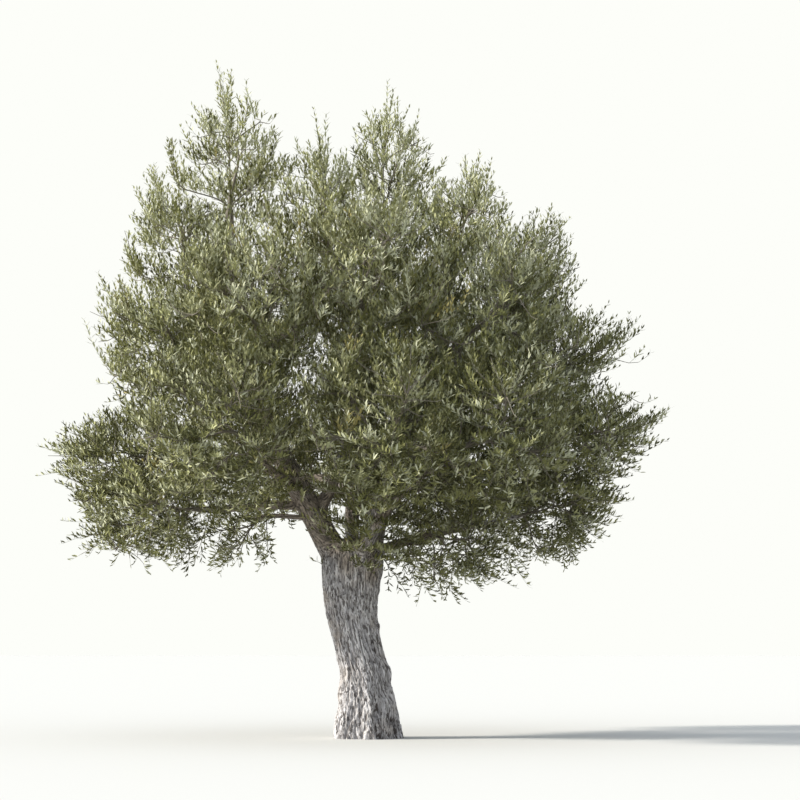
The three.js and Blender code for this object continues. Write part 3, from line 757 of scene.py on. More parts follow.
def bark_material():
    """Olive bark: silvery weathered ridges whose crests are paler as painted light, brown inner bark, and
    furrows, cracks and clefts darkened nearly to black as painted shade.
    """
    material, tree = new_material("olive_bark")
    grain = add_node(tree, "ShaderNodeAttribute", attribute_name="grain").outputs["Vector"]
    cleft = add_node(tree, "ShaderNodeAttribute", attribute_name="cleft").outputs["Fac"]
    place = add_node(tree, "ShaderNodeTexCoord").outputs["Object"]
    height = add_node(tree, "ShaderNodeSeparateXYZ", {"Vector": place}).outputs["Z"]
    ridges, furrows, cracks = bark_texture(tree, grain)
    fibre = grain_noise(tree, grain, *FIBRE_SIZE, 4)
    flecks = grain_noise(tree, grain, *FLECK_SIZE, 2)
    patches = noise(tree, place, 5.5, 3)
    blotches = noise(tree, place, 13, 2)

    climb = between(tree, height, 0.6, 1.4, -0.1, 0.17)
    brownness = between(tree, maths(tree, "ADD", patches, climb), 0.42, 0.68, 0, 0.85)
    # Paler on the raised ridge crests: partly silvery weathering, partly painted light.
    colour = mixed(tree, between(tree, ridges, 0.42, 0.6, 0, 1), BARK_RIDGE, BARK_PALE)
    colour = mixed(tree, brownness, colour, BARK_BROWN)
    colour = mixed(tree, between(tree, fibre, 0.36, 0.52, 0.5, 0), colour, BARK_DARK)

    rough = between(tree, flecks, 0.42, 0.56, 1, 0.25)
    weathered = between(tree, blotches, 0.56, 0.66, 0, 0.85)
    # Painted shade: the bark darkens towards BARK_DARK in the sunk furrows and cracks and in the clefts, and
    # also in random flecks and weathered blotches, which are its own marks.
    painted_shade_and_marks = maths(tree, "MULTIPLY", furrows, 0.6)
    for deep in (
        maths(tree, "MULTIPLY", cracks, 0.5),
        maths(tree, "MULTIPLY", weathered, rough),
        between(tree, flecks, 0.41, 0.47, 0.9, 0),
        maths(tree, "MULTIPLY", cleft, rough),
    ):
        painted_shade_and_marks = maths(tree, "MAXIMUM", painted_shade_and_marks, deep)
    colour = mixed(tree, painted_shade_and_marks, colour, BARK_DARK)
    depth = maths(tree, "SUBTRACT", fibre, maths(tree, "MULTIPLY", painted_shade_and_marks, 1.2))
    bump = add_node(tree, "ShaderNodeBump", {"Height": depth, "Strength": 0.6, "Distance": 0.004})
    dullness = between(tree, fibre, 0.3, 0.7, 0.95, 0.8)
    surface = add_node(
        tree, "ShaderNodeBsdfPrincipled", {"Base Color": colour, "Roughness": dullness, "Normal": bump}
    )
    add_node(tree, "ShaderNodeOutputMaterial", {"Surface": surface})
    return material


olive_bark = bark_material()
apply_group(trunk_bark, bark_relief, ridge=0.115, furrow=0.06, crack=0.024)


def cut_level(made, height):
    """Cuts a closed mesh off level and closes it with a flat face."""
    whole = bmesh.new()
    whole.from_mesh(made.data)
    everything = whole.verts[:] + whole.edges[:] + whole.faces[:]
    cut = bmesh.ops.bisect_plane(
        whole, geom=everything, plane_co=(0, 0, height), plane_no=(0, 0, -1), clear_outer=True
    )
    rim = [part for part in cut["geom_cut"] if isinstance(part, bmesh.types.BMEdge)]
    bmesh.ops.contextual_create(whole, geom=rim)
    whole.to_mesh(made.data)
    whole.free()


cut_level(trunk_bark, 0)
trunk_bark.data.materials.append(olive_bark)
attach(trunk_bark, "root")
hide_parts("trunk")


# Boughs
# Twenty-six limbs of live wood in the same bark, thinner and smoother as they thin. Each one starts
# inside the limb that carries it and swells there into a collar.
COLLAR_SWELL = 0.32
COLLAR_LENGTH = 1.6
# How far a bough's own bark starts before the trunk's skin ends, in radii of its base.
SKIN_OVERLAP = 1.8
BOUGH_FACE = 0.0095
BOUGH_RING_GAP = 0.3


def bough_radius(limb, shares):
    """A bough's radius on its own bark: a collar at its foot, or a foot sunk in the trunk's skin."""
    run = shares * limb["line"].length
    collar = COLLAR_LENGTH * limb["base"]
    radii = radius_at(limb, shares)
    if limb["name"] in FORK_SHARES:
        end = FORK_SHARES[limb["name"]] * limb["line"].length
        rise = np.clip((run - end + collar) / collar, 0, 1)
        return radii * (STUB_END + (1 - STUB_END) * np.sqrt(rise))
    return radii * (1 + COLLAR_SWELL * np.exp(-run / collar))


bough_tubes = []
bough_girths = []
for limb in limbs.values():
    first = 0.0
    if limb["name"] in FORK_SHARES:
        first = FORK_SHARES[limb["name"]] - SKIN_OVERLAP * limb["base"] / limb["line"].length
    corners = max(10, round(2 * math.pi * limb["base"] / BOUGH_FACE))
    ring_gap = max(0.012, BOUGH_RING_GAP * limb["base"])
    points, faces, grain = limb_tube(limb, first, 1, ring_gap, corners, bough_radius)
    girth = radius_at(limb, np.clip((grain[:, 2] - limb["grain_start"][2]) / limb["line"].length, 0, 1))
    bough_tubes.append((points, faces, grain))
    bough_girths.append(girth)
points, faces, grain = join(bough_tubes)
bough_bark = mesh_object("bough_bark", points, faces)
set_attribute(bough_bark.data, "grain", "FLOAT_VECTOR", twisted(grain))
set_attribute(bough_bark.data, "girth", "FLOAT", np.concatenate(bough_girths))
apply_group(bough_bark, bark_relief, ridge=0.24, furrow=0.08, crack=0.04)
bough_bark.data.materials.append(olive_bark)
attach(bough_bark, "root")
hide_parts(*limbs)


# Stems, branches and twigs of the masses
# From each bough's tip a stem runs on through its mass of foliage, branches leave the stem at a slant for
# targets spread evenly round the middle, and twigs leave those in the same way. Young wood, smooth and grey.
CROWN_HEART = np.array((-0.04, 0, 1.8))
MASS_SEED = 83
SEED_STEP = 101
GOLDEN_ANGLE = math.pi * (3 - math.sqrt(5))
MIDDLE_PLANE = 0.22
DEPTH_STRETCH = 1.55
BRANCH_SPACING = 0.075
BRANCH_RADIUS = 0.0056
BRANCH_POINTS = 9
STEM_POINTS = 41
STEM_TAPER = 0.45
LEADING_SHOOT = 0.4
SPACE_MARGIN = 0.004
WALL_INSET = 0.012
# Far and near targets of branches, as shares of the mass's reach, and what chance adds to them.
BRANCH_STRETCHES = (0.7, 0.45)
STRETCH_CHANCE = 0.1
# The stretch of stem that branches leave, how much sooner one leaves it for a target that lies aside, and
# how far it keeps from the bark of boughs.
BRANCHED_STEM = (0.04, 0.85)
LEAVES_SOONER = 0.9
BRANCH_CLEARANCE = 0.006
# Twigs stand closest together low in the crown and thin out at its top.
TWIG_HEIGHTS = (1.2, 2.4, 3.2)
TWIGS_PER_CUBIC_METRE = (280, 220, 115)
TWIG_RADIUS = 0.0032
TWIG_TIP_RADIUS = 0.0013
TWIG_STRETCHES = (0.6, 0.97, 0.8)
TWIG_POINTS = 6
SHORTEST_TWIG = 0.07
TWIG_CLEARANCE = 0.012
# How far a twig's way may turn from the crown's outer side before some are left out, and the share kept.
INNER_SIDE = -0.25
INNER_TWIGS_KEPT = 0.85
# How much twigs turn up at their ends in high and in low masses, and the height that parts the two.
TWIG_LIFT = (0.5, 0.05)
LIFT_HEIGHT = 1.5
NARROWING = 0.24
# Leafy twigs on the limbs themselves: the share of the limb below them that is bare, how much they rise or,
# below nought, droop, and their spacing.
SPROUTS = {
    "left_limb": (0.4, 0.3, 0.04),
    "right_limb": (0.08, 0.05, 0.03),
    "top_limb": (0.2, 0.2, 0.035),
    "front_limb": (0.06, 0.1, 0.016),
    "back_limb": (0.2, 0.1, 0.04),
    "right_low_bough": (0.08, -0.2, 0.03),
    "left_low_bough": (0.5, -0.2, 0.05),
    "left_thin_bough": (0.5, -0.2, 0.045),
    "right_inner_bough": (0.1, -0.3, 0.03),
    "front_left_high_bough": (0.1, 0.2, 0.025),
    "front_centre_high_bough": (0.1, 0.2, 0.025),
    "back_left_high_bough": (0.1, 0.2, 0.025),
    "back_centre_low_bough": (0.1, 0.2, 0.03),
}
SPROUTS_ELSEWHERE = (0.15, 0.15, 0.032)
SPROUT_LENGTH = (0.1, 0.32)
# Where sprouts end on a limb, and how far they are turned out of their even spiral.
SPROUTS_END = 0.95
SPROUT_TURN = 0.4
SPROUT_CLEARANCE = 0.01
# A small sprig on the trunk's left edge, under the fork: the four points that draw it.
TRUNK_SPRIG = np.array((
    (-0.235, -0.02, 0.935), (-0.242, -0.025, 0.94), (-0.25, -0.03, 0.945), (-0.257, -0.03, 0.952)
))


def seeded_random(seed):
    """The run of numbers from 0 to 1 that the model's masses are grown from."""
    multiplier, modulus = 48271, 2147483647
    state = seed
    while True:
        state = state * multiplier % modulus
        yield state / modulus


def own_space(mass, masses):
    """The walls halfway to each other mass's middle, as normals and limits."""
    middle = np.array(mass["middle"])
    others = np.array([other["middle"] for other in masses if other is not mass])
    normals = unit(others - middle)
    limits = np.einsum("ij,ij->i", normals, (others + middle) / 2) - SPACE_MARGIN
    return normals, limits


def drawn_in(space, middle, point):
    """A point moved straight towards the middle until it lies in the mass's space."""
    normals, limits = space
    start = normals @ middle
    end = normals @ point
    over = end > limits - WALL_INSET
    if not over.any():
        return point
    share = np.min((limits[over] - WALL_INSET - start[over]) / (end[over] - start[over]))
    return middle + (point - middle) * share


# Every bough in short straight lengths, to keep twigs and leaves out of its bark.
bark_shares = np.linspace(0, 1, 15)
bark_spots = [limb["line"].at(bark_shares) for limb in limbs.values()]
bark_starts = np.vstack([spots[:-1] for spots in bark_spots])
bark_lengths = np.vstack([spots[1:] for spots in bark_spots]) - bark_starts
bark_radii = np.concatenate([radius_at(limb, bark_shares[:-1]) for limb in limbs.values()])


def clear_of_bark(points, margin):
    """True for each point that lies further than a margin from every bough's bark."""
    offsets = points[:, None] - bark_starts
    along = np.einsum("ijk,jk->ij", offsets, bark_lengths)
    shares = np.clip(along / np.einsum("jk,jk->j", bark_lengths, bark_lengths), 0, 1)
    distances = np.linalg.norm(offsets - shares[..., None] * bark_lengths, axis=-1)
    return (distances > bark_radii + margin).all(1)


def within(space, points):
    """True for each point inside the mass's walls."""
    normals, limits = space
    return (points @ normals.T < limits).all(1)


def deepened(limb):
    """How many times as far a mass reaches along each axis: near the middle plane, further in depth."""
    return np.array((1, DEPTH_STRETCH if abs(limb["middle"][1]) < MIDDLE_PLANE else 1, 1))


def reach_towards(limb, ways):
    """How far a mass reaches in each direction before it is deepened: it narrows to its leading tip."""
    if "tip" not in limb:
        return np.full(len(ways), limb["reach"])
    tip = (np.array(limb["tip"]) - limb["middle"]) / deepened(limb)
    facing = np.clip(ways @ unit(tip), 0, 1)
    drawn_out = (np.linalg.norm(tip) - limb["reach"]) * facing**5
    narrowed = limb["reach"] * NARROWING * 2 * facing * np.sqrt(1 - facing**2)
    return limb["reach"] + drawn_out - narrowed


def mass_stem(limb, outwards):
    """The stem of a mass, from its bough's tip through its middle towards its leading tip."""
    heading = limb["line"].heading(1.0)
    start = limb["line"].at(1.0)
    middle = np.array(limb["middle"])
    furthest = np.array(limb.get("tip", middle + outwards * limb["reach"]))
    length = np.linalg.norm(furthest - start)
    end = furthest - unit(furthest - start) * LEADING_SHOOT
    first = start + heading * 0.3 * length
    return bend_through(start, first, end - outwards * 0.25 * length, end, STEM_POINTS), furthest


def spiral_way(i, count, turn):
    """The way to one of many targets, spread evenly round a middle from its top to its bottom."""
    height = 1 - 2 * (i + 0.5) / count
    angle = turn + i * GOLDEN_ANGLE
    level = math.sqrt(1 - height * height)
    return np.array((level * math.cos(angle), level * math.sin(angle), height))


def mass_branches(limb, stem, space, draw):
    """Branches that leave the stem for targets spiralling evenly round the middle, near and far by turns."""
    middle = np.array(limb["middle"])
    start = stem.points[0]
    axis = stem.points[-1] - start
    turn = next(draw) * 2 * math.pi
    count = round(limb["reach"] / BRANCH_SPACING)
    branches = []
    for i in range(count):
        stretch = limb["reach"] * (BRANCH_STRETCHES[i % 2] + STRETCH_CHANCE * next(draw))
        way = spiral_way(i, count, turn)
        target = drawn_in(space, middle, middle + way * stretch * deepened(limb))
        along = (target - start) @ axis / (axis @ axis)
        aside = np.linalg.norm(target - start - axis * along) / np.linalg.norm(axis)
        share = np.clip(along - LEAVES_SOONER * aside, *BRANCHED_STEM)
        foot = stem.at(share)
        length = np.linalg.norm(target - foot)
        sag = foot + stem.heading(share) * 0.3 * length
        branch = bend_through(foot, sag, foot + (target - foot) * 0.7, target, BRANCH_POINTS)
        probes = branch.at(np.linspace(1 / 8, 1, 8))
        clear = clear_of_bark(probes, BRANCH_RADIUS + BRANCH_CLEARANCE)
        if within(space, probes).all() and clear.all():
            branches.append(branch)
    return branches


def mass_twigs(limb, axes, space, outwards, draw):
    """Twigs that leave stem and branches for targets of their own, fewer on the crown's inner side."""
    middle = np.array(limb["middle"])
    room = 4 / 3 * math.pi * limb["reach"] ** 3 * deepened(limb)[1]
    count = round(room * np.interp(middle[2], TWIG_HEIGHTS, TWIGS_PER_CUBIC_METRE))
    turn = draw.random() * 2 * math.pi
    lift = TWIG_LIFT[0] if middle[2] > LIFT_HEIGHT else TWIG_LIFT[1]
    shares = np.linspace(0.15, 0.95, 9)
    feet = np.vstack([axis.at(shares) for axis in axes])
    leavings = np.vstack([axis.heading(shares) for axis in axes])
    twigs = []
    for i in range(count):
        way = spiral_way(i, count, turn)
        if way @ outwards < INNER_SIDE and draw.random() > INNER_TWIGS_KEPT:
            continue
        stretch = reach_towards(limb, way[None])[0] * TWIG_STRETCHES[i % 3] * draw.uniform(0.9, 1.04)
        target = drawn_in(space, middle, middle + way * stretch * deepened(limb))
        offsets = target - feet
        lengths = np.linalg.norm(offsets, axis=1)
        slant = np.einsum("ij,ij->i", offsets, leavings) / lengths
        # The best foot is near, but not too near, and its axis already points towards the target.
        cost = lengths * (1.3 - 0.5 * slant) + 0.4 * np.maximum(0, 0.12 - lengths)
        best = int(np.argmin(cost))
        foot, length = feet[best], lengths[best]
        first = foot + leavings[best] * 0.35 * length
        ending = unit(offsets[best] / length + (0, 0, lift) + 0.3 * outwards)
        twig = bend_through(foot, first, target - ending * 0.3 * length, target, TWIG_POINTS)
        if length > SHORTEST_TWIG and clear_of_bark(twig.points[2:], TWIG_CLEARANCE).all():
            twigs.append(twig)
    return twigs


def limb_sprouts(limb, chance):
    """Leafy twigs that spring straight from an older limb and turn round it as they climb."""
    bare, lift, spacing = SPROUTS.get(limb["name"], SPROUTS_ELSEWHERE)
    count = round((SPROUTS_END - bare) * limb["line"].length / spacing)
    shares = bare + (SPROUTS_END - bare) * (np.arange(count) + 0.5) / max(count, 1)
    feet, headings = limb["line"].at(shares), limb["line"].heading(shares)
    sprouts = []
    for i in range(count):
        angle = i * GOLDEN_ANGLE + chance.uniform(-SPROUT_TURN, SPROUT_TURN)
        across = unit(np.cross(headings[i], limb["side"]))
        sideways = unit(np.cross(across, headings[i])) * math.cos(angle) + across * math.sin(angle)
        way = unit(0.45 * headings[i] + sideways + (0, 0, lift))
        length = chance.uniform(*SPROUT_LENGTH)
        start = feet[i] + sideways * 0.6 * radius_at(limb, shares[i])
        turned = unit(way + (0, 0, lift))
        first = start + way * 0.35 * length
        second = start + (way + turned) * 0.34 * length
        tip = start + (0.45 * way + 0.55 * turned) * length
        sprout = bend_through(start, first, second, tip, TWIG_POINTS)
        if clear_of_bark(sprout.points[3:], SPROUT_CLEARANCE).all():
            sprouts.append(sprout)
    return sprouts


young_wood = []
mass_growth = {}
branch_radii = BRANCH_RADIUS * (1 - np.linspace(0, 0.5, BRANCH_POINTS))
twig_radii = np.linspace(TWIG_RADIUS, TWIG_TIP_RADIUS, TWIG_POINTS)
stem_shares = np.linspace(0, 1, 13)
for index, limb in enumerate(limbs.values()):
    space = own_space(limb, list(limbs.values()))
    outwards = unit(np.array(limb["middle"]) - CROWN_HEART)
    draw = seeded_random(MASS_SEED + SEED_STEP * index)
    stem, furthest = mass_stem(limb, outwards)
    branches = mass_branches(limb, stem, space, draw)
    chance = np.random.default_rng(MASS_SEED + SEED_STEP * index)
    twigs = mass_twigs(limb, [stem, *branches], space, outwards, chance)
    top = stem.points[-1]
    lead = furthest - top
    first = top + stem.heading(1.0) * 0.1
    leader = bend_through(top, first, top + lead * 0.5, top + lead * 0.6, TWIG_POINTS)
    stem_radii = limb["tip_radius"] + (BRANCH_RADIUS / 2 - limb["tip_radius"]) * stem_shares**STEM_TAPER
    young_wood.append((stem.at(stem_shares), stem_radii))
    young_wood.extend((branch.points, branch_radii) for branch in branches)
    young_wood.extend((twig.points, twig_radii) for twig in [leader, *twigs])
    mass_growth[limb["mass"]] = dict(
        limb=limb, space=space, outwards=outwards, twigs=[leader, *twigs], sprouts=[], chance=chance
    )

# Each sprout is counted with the mass nearest to its tip, whose leaves it carries.
mass_middles = np.array([growth["limb"]["middle"] for growth in mass_growth.values()])
sprout_chance = np.random.default_rng(MASS_SEED)
sprouts = [bend_through(*TRUNK_SPRIG, TWIG_POINTS)]
for limb in limbs.values():
    sprouts.extend(limb_sprouts(limb, sprout_chance))
for sprout in sprouts:
    nearest = int(np.argmin(np.linalg.norm(mass_middles - sprout.points[-1], axis=1)))
    list(mass_growth.values())[nearest]["sprouts"].append(sprout)
    young_wood.append((sprout.points, twig_radii))


def wood_lines(name, lines):
    """Lines of wood as one mesh of edges, with the radius at each point."""
    points = np.vstack([line for line, _ in lines])
    edges = []
    count = 0
    for line, _ in lines:
        edges.extend([(count + i, count + i + 1) for i in range(len(line) - 1)])
        count += len(line)
    made = mesh_object(name, points, [], edges)
    set_attribute(made.data, "radius", "FLOAT", np.concatenate([radii for _, radii in lines]))
    return made


def wood_tree():
    """Rounds every line of wood into a closed stick of its own radius."""
    tree, given = new_group("rounded_wood", sides="Int", bark="Material")
    lines = add_node(tree, "GeometryNodeMeshToCurve", {"Mesh": given["Geometry"]})
    circle = {"Resolution": given["sides"], "Radius": 1.0}
    outline = add_node(tree, "GeometryNodeCurvePrimitiveCircle", circle)
    rounding = {"Curve": lines, "Profile Curve": outline, "Fill Caps": True}
    rounding["Scale"] = named(tree, "radius", "FLOAT")
    sticks = add_node(tree, "GeometryNodeCurveToMesh", rounding)
    whole = add_node(tree, "GeometryNodeRealizeInstances", {"Geometry": sticks})
    barked = add_node(tree, "GeometryNodeSetMaterial", {"Geometry": whole, "Material": given["bark"]})
    add_node(tree, "NodeGroupOutput", {"Geometry": barked})
    return tree


def twig_material(name, colour, roughness):
    """Young bark: smooth, grey and dull, with a faint speckle."""
    material, tree = new_material(name)
    speckle = noise(tree, add_node(tree, "ShaderNodeTexCoord").outputs["Object"], 160, 1)
    bump = add_node(tree, "ShaderNodeBump", {"Height": speckle, "Strength": 0.3, "Distance": 0.001})
    surface = add_node(
        tree, "ShaderNodeBsdfPrincipled", {"Base Color": colour, "Roughness": roughness, "Normal": bump}
    )
    add_node(tree, "ShaderNodeOutputMaterial", {"Surface": surface})
    return material


rounded_wood = wood_tree()
twig_bark = twig_material("twig_bark", (0.26, 0.23, 0.19, 1), 0.8)
twigs = wood_lines("twigs", young_wood)
apply_group(twigs, rounded_wood, sides=5, bark=twig_bark)
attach(twigs, "root")


# Shoots
# This year's growth: slim grey-green shoots that leave the twigs by turns and carry the leaves. They stand
# up in the top of the crown, reach out at its sides and droop a little under its skirts.
SHOOT_SPACING = 0.022
SHOOT_LENGTH = (0.08, 0.16)
LEADING_LENGTH = (0.15, 0.24)
SHOOT_ANGLE = (0.45, 0.95)
LEADING_ANGLE = 0.1
# The share of a twig's length that carries shoots, and where they start and end on it.
LEAFY_SHARE = 0.85
LEAFY_STRETCH = (0.16, 0.98)
# The length from which a twig bears shoots of full length, and how much shorter hanging ones lead.
FULL_VIGOUR = 0.1
HANGING_SHORTENS = 0.6
# Shoots droop up to this height and rise more and more above it. They lean outwards too.
RISE_FROM = 1.2
RISE_RANGE = (-0.1, 0.9)
RISE_PULL = 0.65
OUTWARD_PULL = 0.27
# How far a shoot's tip swings out of its line by chance and, where shoots rise, upwards.
SWING = 0.05
SWING_UP = 0.14
# Where a mass begins to thin out towards the open and where it ends, as shares of its reach, and what is
# left there.
THINNING_OUT = (0.7, 1.0)
OUTERMOST_KEPT = 0.35
SHOOT_LIMITS = (0.92, 1.04)
LEADING_REACH = 0.08
# What each try at a shoot that doesn't fit is shortened by.
SHORTENED = (1, 0.7, 0.6)
SHOOT_RADII = np.linspace(0.001, 0.0005, 3)
BOX_MARGIN = 0.034
OVER_WALL = 0.045
BARK_MARGIN = 0.02
# How often each tint of leaf is dealt out in the shade and in the open: grey-green, olive, fresh, silvery,
# deep and yellowed. The darker mix in the shade and the paler mix in the open are partly the real leaves'
# own and partly painted shade and painted light.
SHADE_TINTS = np.array((0.16, 0.34, 0.02, 0.02, 0.455, 0.005))
OPEN_TINTS = np.array((0.35, 0.02, 0.32, 0.3, 0.0, 0.01))
OPEN_HEIGHTS = (1.75, 3.0)
OPEN_DEPTHS = (-0.5, 0.8)
HEIGHT_COUNTS = 0.7


def deal_tints(growth, places):
    """A tint for each place: deep ones low down and inside the crown, pale ones high up and outside, partly
    as real leaves differ there and partly as painted shade and light.
    """
    limb, outwards, chance = (growth[key] for key in ("limb", "outwards", "chance"))
    depth = np.interp((places - limb["middle"]) @ outwards / limb["reach"], OPEN_DEPTHS, (0, 1))
    height = np.interp(places[:, 2], OPEN_HEIGHTS, (0, 1))
    share = ((1 - HEIGHT_COUNTS) * depth + HEIGHT_COUNTS * height)[:, None]
    dealt = np.cumsum(SHADE_TINTS * (1 - share) + OPEN_TINTS * share, axis=1)[:, :-1]
    return (dealt < chance.random(len(places))[:, None]).sum(1)


def springing_shoots(twigs, outwards, chance):
    """Every shoot that springs from a mass's twigs: its base, heading, length, rise and twig, and whether
    it leads."""
    bases, headings, lengths, rises, sprays, leading = [], [], [], [], [], []
    for number, twig in enumerate(twigs):
        count = max(2, round(LEAFY_SHARE * twig.length / SHOOT_SPACING))
        rise = np.clip(twig.points[-1, 2] - RISE_FROM, *RISE_RANGE)
        shares = np.append(np.linspace(*LEAFY_STRETCH, count), 1)
        along = twig.heading(shares)
        turns = chance.random() * 2 * math.pi + np.arange(count + 1) * GOLDEN_ANGLE
        guess = np.stack([np.cos(turns), np.sin(turns), 0.3 * np.ones(count + 1)], -1)
        sideways = unit(guess - np.einsum("ij,ij->i", guess, along)[:, None] * along)
        slant = np.append(chance.uniform(*SHOOT_ANGLE, count), LEADING_ANGLE)[:, None]
        ways = along * np.cos(slant) + sideways * np.sin(slant)
        ways = ways + OUTWARD_PULL * outwards + (0, 0, RISE_PULL * rise)
        bases.append(twig.at(shares))
        headings.append(unit(ways))
        vigour = min(1, twig.length / FULL_VIGOUR)
        hanging = 1 + HANGING_SHORTENS * min(0, along[-1, 2])
        lengths.append(chance.uniform(*SHOOT_LENGTH, count) * (1.1 - 0.3 * shares[:-1]) * vigour)
        lengths.append([chance.uniform(*LEADING_LENGTH) * vigour * hanging])
        rises.extend([rise] * (count + 1))
        sprays.extend([number] * (count + 1))
        leading.extend([False] * count + [True])
    springing = bases, headings, [np.concatenate(lengths)], [rises], [sprays], [leading]
    return [np.concatenate(values) for values in springing]


def grow_shoots(growth):
    """The shoots of one mass, as lines of three points, and the tint dealt to each. A shoot that would
    leave the mass's reach, its walls or the tree's box is tried shorter, and left out if it still does."""
    limb, space, outwards, chance = (growth[key] for key in ("limb", "space", "outwards", "chance"))
    middle = np.array(limb["middle"])
    twigs = growth["twigs"] + growth["sprouts"]
    bases, headings, lengths, rises, sprays, leading = springing_shoots(twigs, outwards, chance)
    swing = chance.normal(0, SWING, (len(bases), 3))
    swing[:, 2] += SWING_UP * rises
    limit = chance.uniform(*SHOOT_LIMITS, len(bases)) + LEADING_REACH * leading
    lucky = chance.random(len(bases)) - leading
    on_sprout = sprays >= len(growth["twigs"])
    low, high = np.array(model_low) + BOX_MARGIN, np.array(model_high) - BOX_MARGIN
    kept = np.zeros(len(bases), bool)
    for shorter in SHORTENED:
        lengths = np.where(kept, lengths, lengths * shorter)
        tips = bases + (headings + swing) * lengths[:, None]
        off_middle = (tips - middle) / deepened(limb)
        ways = unit(off_middle)
        far = np.linalg.norm(off_middle, axis=1) / reach_towards(limb, ways)
        fits = ((tips - OVER_WALL * ways) @ space[0].T < space[1]).all(1)
        thinned = np.interp(far, THINNING_OUT, (1, OUTERMOST_KEPT))
        fits &= (far < limit) & (lucky < np.where(ways @ outwards > 0, thinned, 1))
        fits |= on_sprout
        fits &= clear_of_bark(tips, BARK_MARGIN)
        fits &= (tips > low).all(1) & (tips < high).all(1)
        kept |= fits
    middles = bases + (headings + 0.25 * swing) * lengths[:, None] / 2
    tips = bases + (headings + swing) * lengths[:, None]
    lines = np.stack([bases, middles, tips], 1)[kept]
    spray_tints = deal_tints(growth, np.array([twig.points[-1] for twig in twigs]))
    own_tints = deal_tints(growth, bases)
    tints = np.where(chance.random(len(bases)) < 0.5, spray_tints[sprays], own_tints)[kept]
    return lines, tints


shoots = {name: grow_shoots(growth) for name, growth in mass_growth.items()}
shoot_bark = twig_material("shoot_bark", (0.3, 0.3, 0.2, 1), 0.7)
left_of_middle = {name: mass_growth[name]["limb"]["middle"][0] < 0.05 for name in shoots}
for piece_name, on_left in (("shoots_left", True), ("shoots_right", False)):
    mass_names = [name for name in shoots if left_of_middle[name] == on_left]
    lines = [(line, SHOOT_RADII) for name in mass_names for line in shoots[name][0]]
    piece = wood_lines(piece_name, lines)
    apply_group(piece, rounded_wood, sides=3, bark=shoot_bark)
    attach(piece, "root")


# Leaves
# Narrow leathery leaves in opposite pairs, each pair turned a quarter from the last. Each spray has a
# grey-green tint of its own, darker low down and inside the crown and paler high up and outside, partly
# painted shade and light, and a tenth of the pairs are silvery, as if they showed their undersides.
LEAF_SPACING = 0.018
# How far leaves turn up from the line of their shoot, towards the light.
LEAF_UPTURN = 0.8
LEAF_SEED = 7
PAIR_KINDS = 6
LEAF_LENGTH = (0.035, 0.047)
LEAF_WIDTH = (0.0078, 0.0104)
LEAF_SPREAD = (0.35, 0.85)
LEAF_BEND = (0.02, 0.16)
LEAF_SIZES = (0.84, 1.12)
# How far a pair may be turned out of its quarter, and how much of a shoot's foot is bare.
LEAF_WOBBLE = 0.45
BARE_FOOT = 0.04
SILVER_SHARE = 0.1
# Base colour and roughness of each tint.
LEAF_TINTS = [
    ("leaf_grey_green", (0.43, 0.435, 0.235), 0.6),
    ("leaf_olive", (0.265, 0.268, 0.1), 0.58),
    ("leaf_fresh", (0.52, 0.525, 0.265), 0.58),
    ("leaf_silver", (0.63, 0.64, 0.45), 0.75),
    ("leaf_deep", (0.142, 0.144, 0.054), 0.58),
    ("leaf_yellowed", (0.44, 0.385, 0.15), 0.62),
]
# The masses whose leaves make up each piece.
LEAF_PIECES = {
    "left_low": ("left_skirt", "left_inner", "left_side"),
    "left_high": ("left_upper", "left_shoulder"),
    "peaks": ("left_peak", "right_peak"),
    "top": ("top_centre", "top_gap"),
    "right_low": ("right_skirt", "right_inner", "right_side"),
    "right_high": ("right_upper", "right_shoulder"),
    "front_left": ("front_left_low", "front_left_high"),
    "front_centre": ("front_centre_low", "front_centre_high"),
    "front_right": ("front_right_low", "front_right_high"),
    "back_left": ("back_left_low", "back_left_high"),
    "back_centre": ("back_centre_low", "back_centre_high"),
    "back_right": ("back_right_low", "back_right_high"),
}


def leaf_corners(length, width, spread, bend, turn):
    """One leaf's six corners: it leaves the shoot at a spread and bends back towards its tip."""
    shape = [(0, 0.12), (0.3, 0.9), (0.68, 0.86), (1, 0)]
    way = np.array((math.sin(spread), 0, math.cos(spread)))
    face = np.array((-math.cos(spread), 0, math.sin(spread)))
    flat = np.array((0, 1.0, 0))
    corners = []
    for share, half in shape:
        middle = way * share * length - face * bend * length * share**2
        for hand in (-1, 1):
            corners.append(middle + flat * hand * half * width / 2)
    corners = np.array([corners[i] for i in (0, 2, 4, 7, 5, 3)])
    spin = np.array(((math.cos(turn), -math.sin(turn), 0), (math.sin(turn), math.cos(turn), 0), (0, 0, 1)))
    return corners @ spin.T


leaf_chance = np.random.default_rng(LEAF_SEED)
leaf_pairs = bpy.data.collections.new("leaf_pairs")
for kind in range(PAIR_KINDS):
    corners, faces = [], []
    for hand in (0, 1):
        corners.append(leaf_corners(
            leaf_chance.uniform(*LEAF_LENGTH),
            leaf_chance.uniform(*LEAF_WIDTH),
            leaf_chance.uniform(*LEAF_SPREAD),
            leaf_chance.uniform(*LEAF_BEND),
            hand * math.pi + leaf_chance.normal(0, 0.2),
        ))
        first = 6 * hand
        faces += [(first, first + 1, first + 5), (first + 1, first + 2, first + 4, first + 5),
                  (first + 2, first + 3, first + 4)]
    pair_mesh = bpy.data.meshes.new(f"leaf_pair_{kind}")
    pair_mesh.from_pydata(np.vstack(corners).tolist(), [], faces)
    leaf_pairs.objects.link(bpy.data.objects.new(f"leaf_pair_{kind}", pair_mesh))


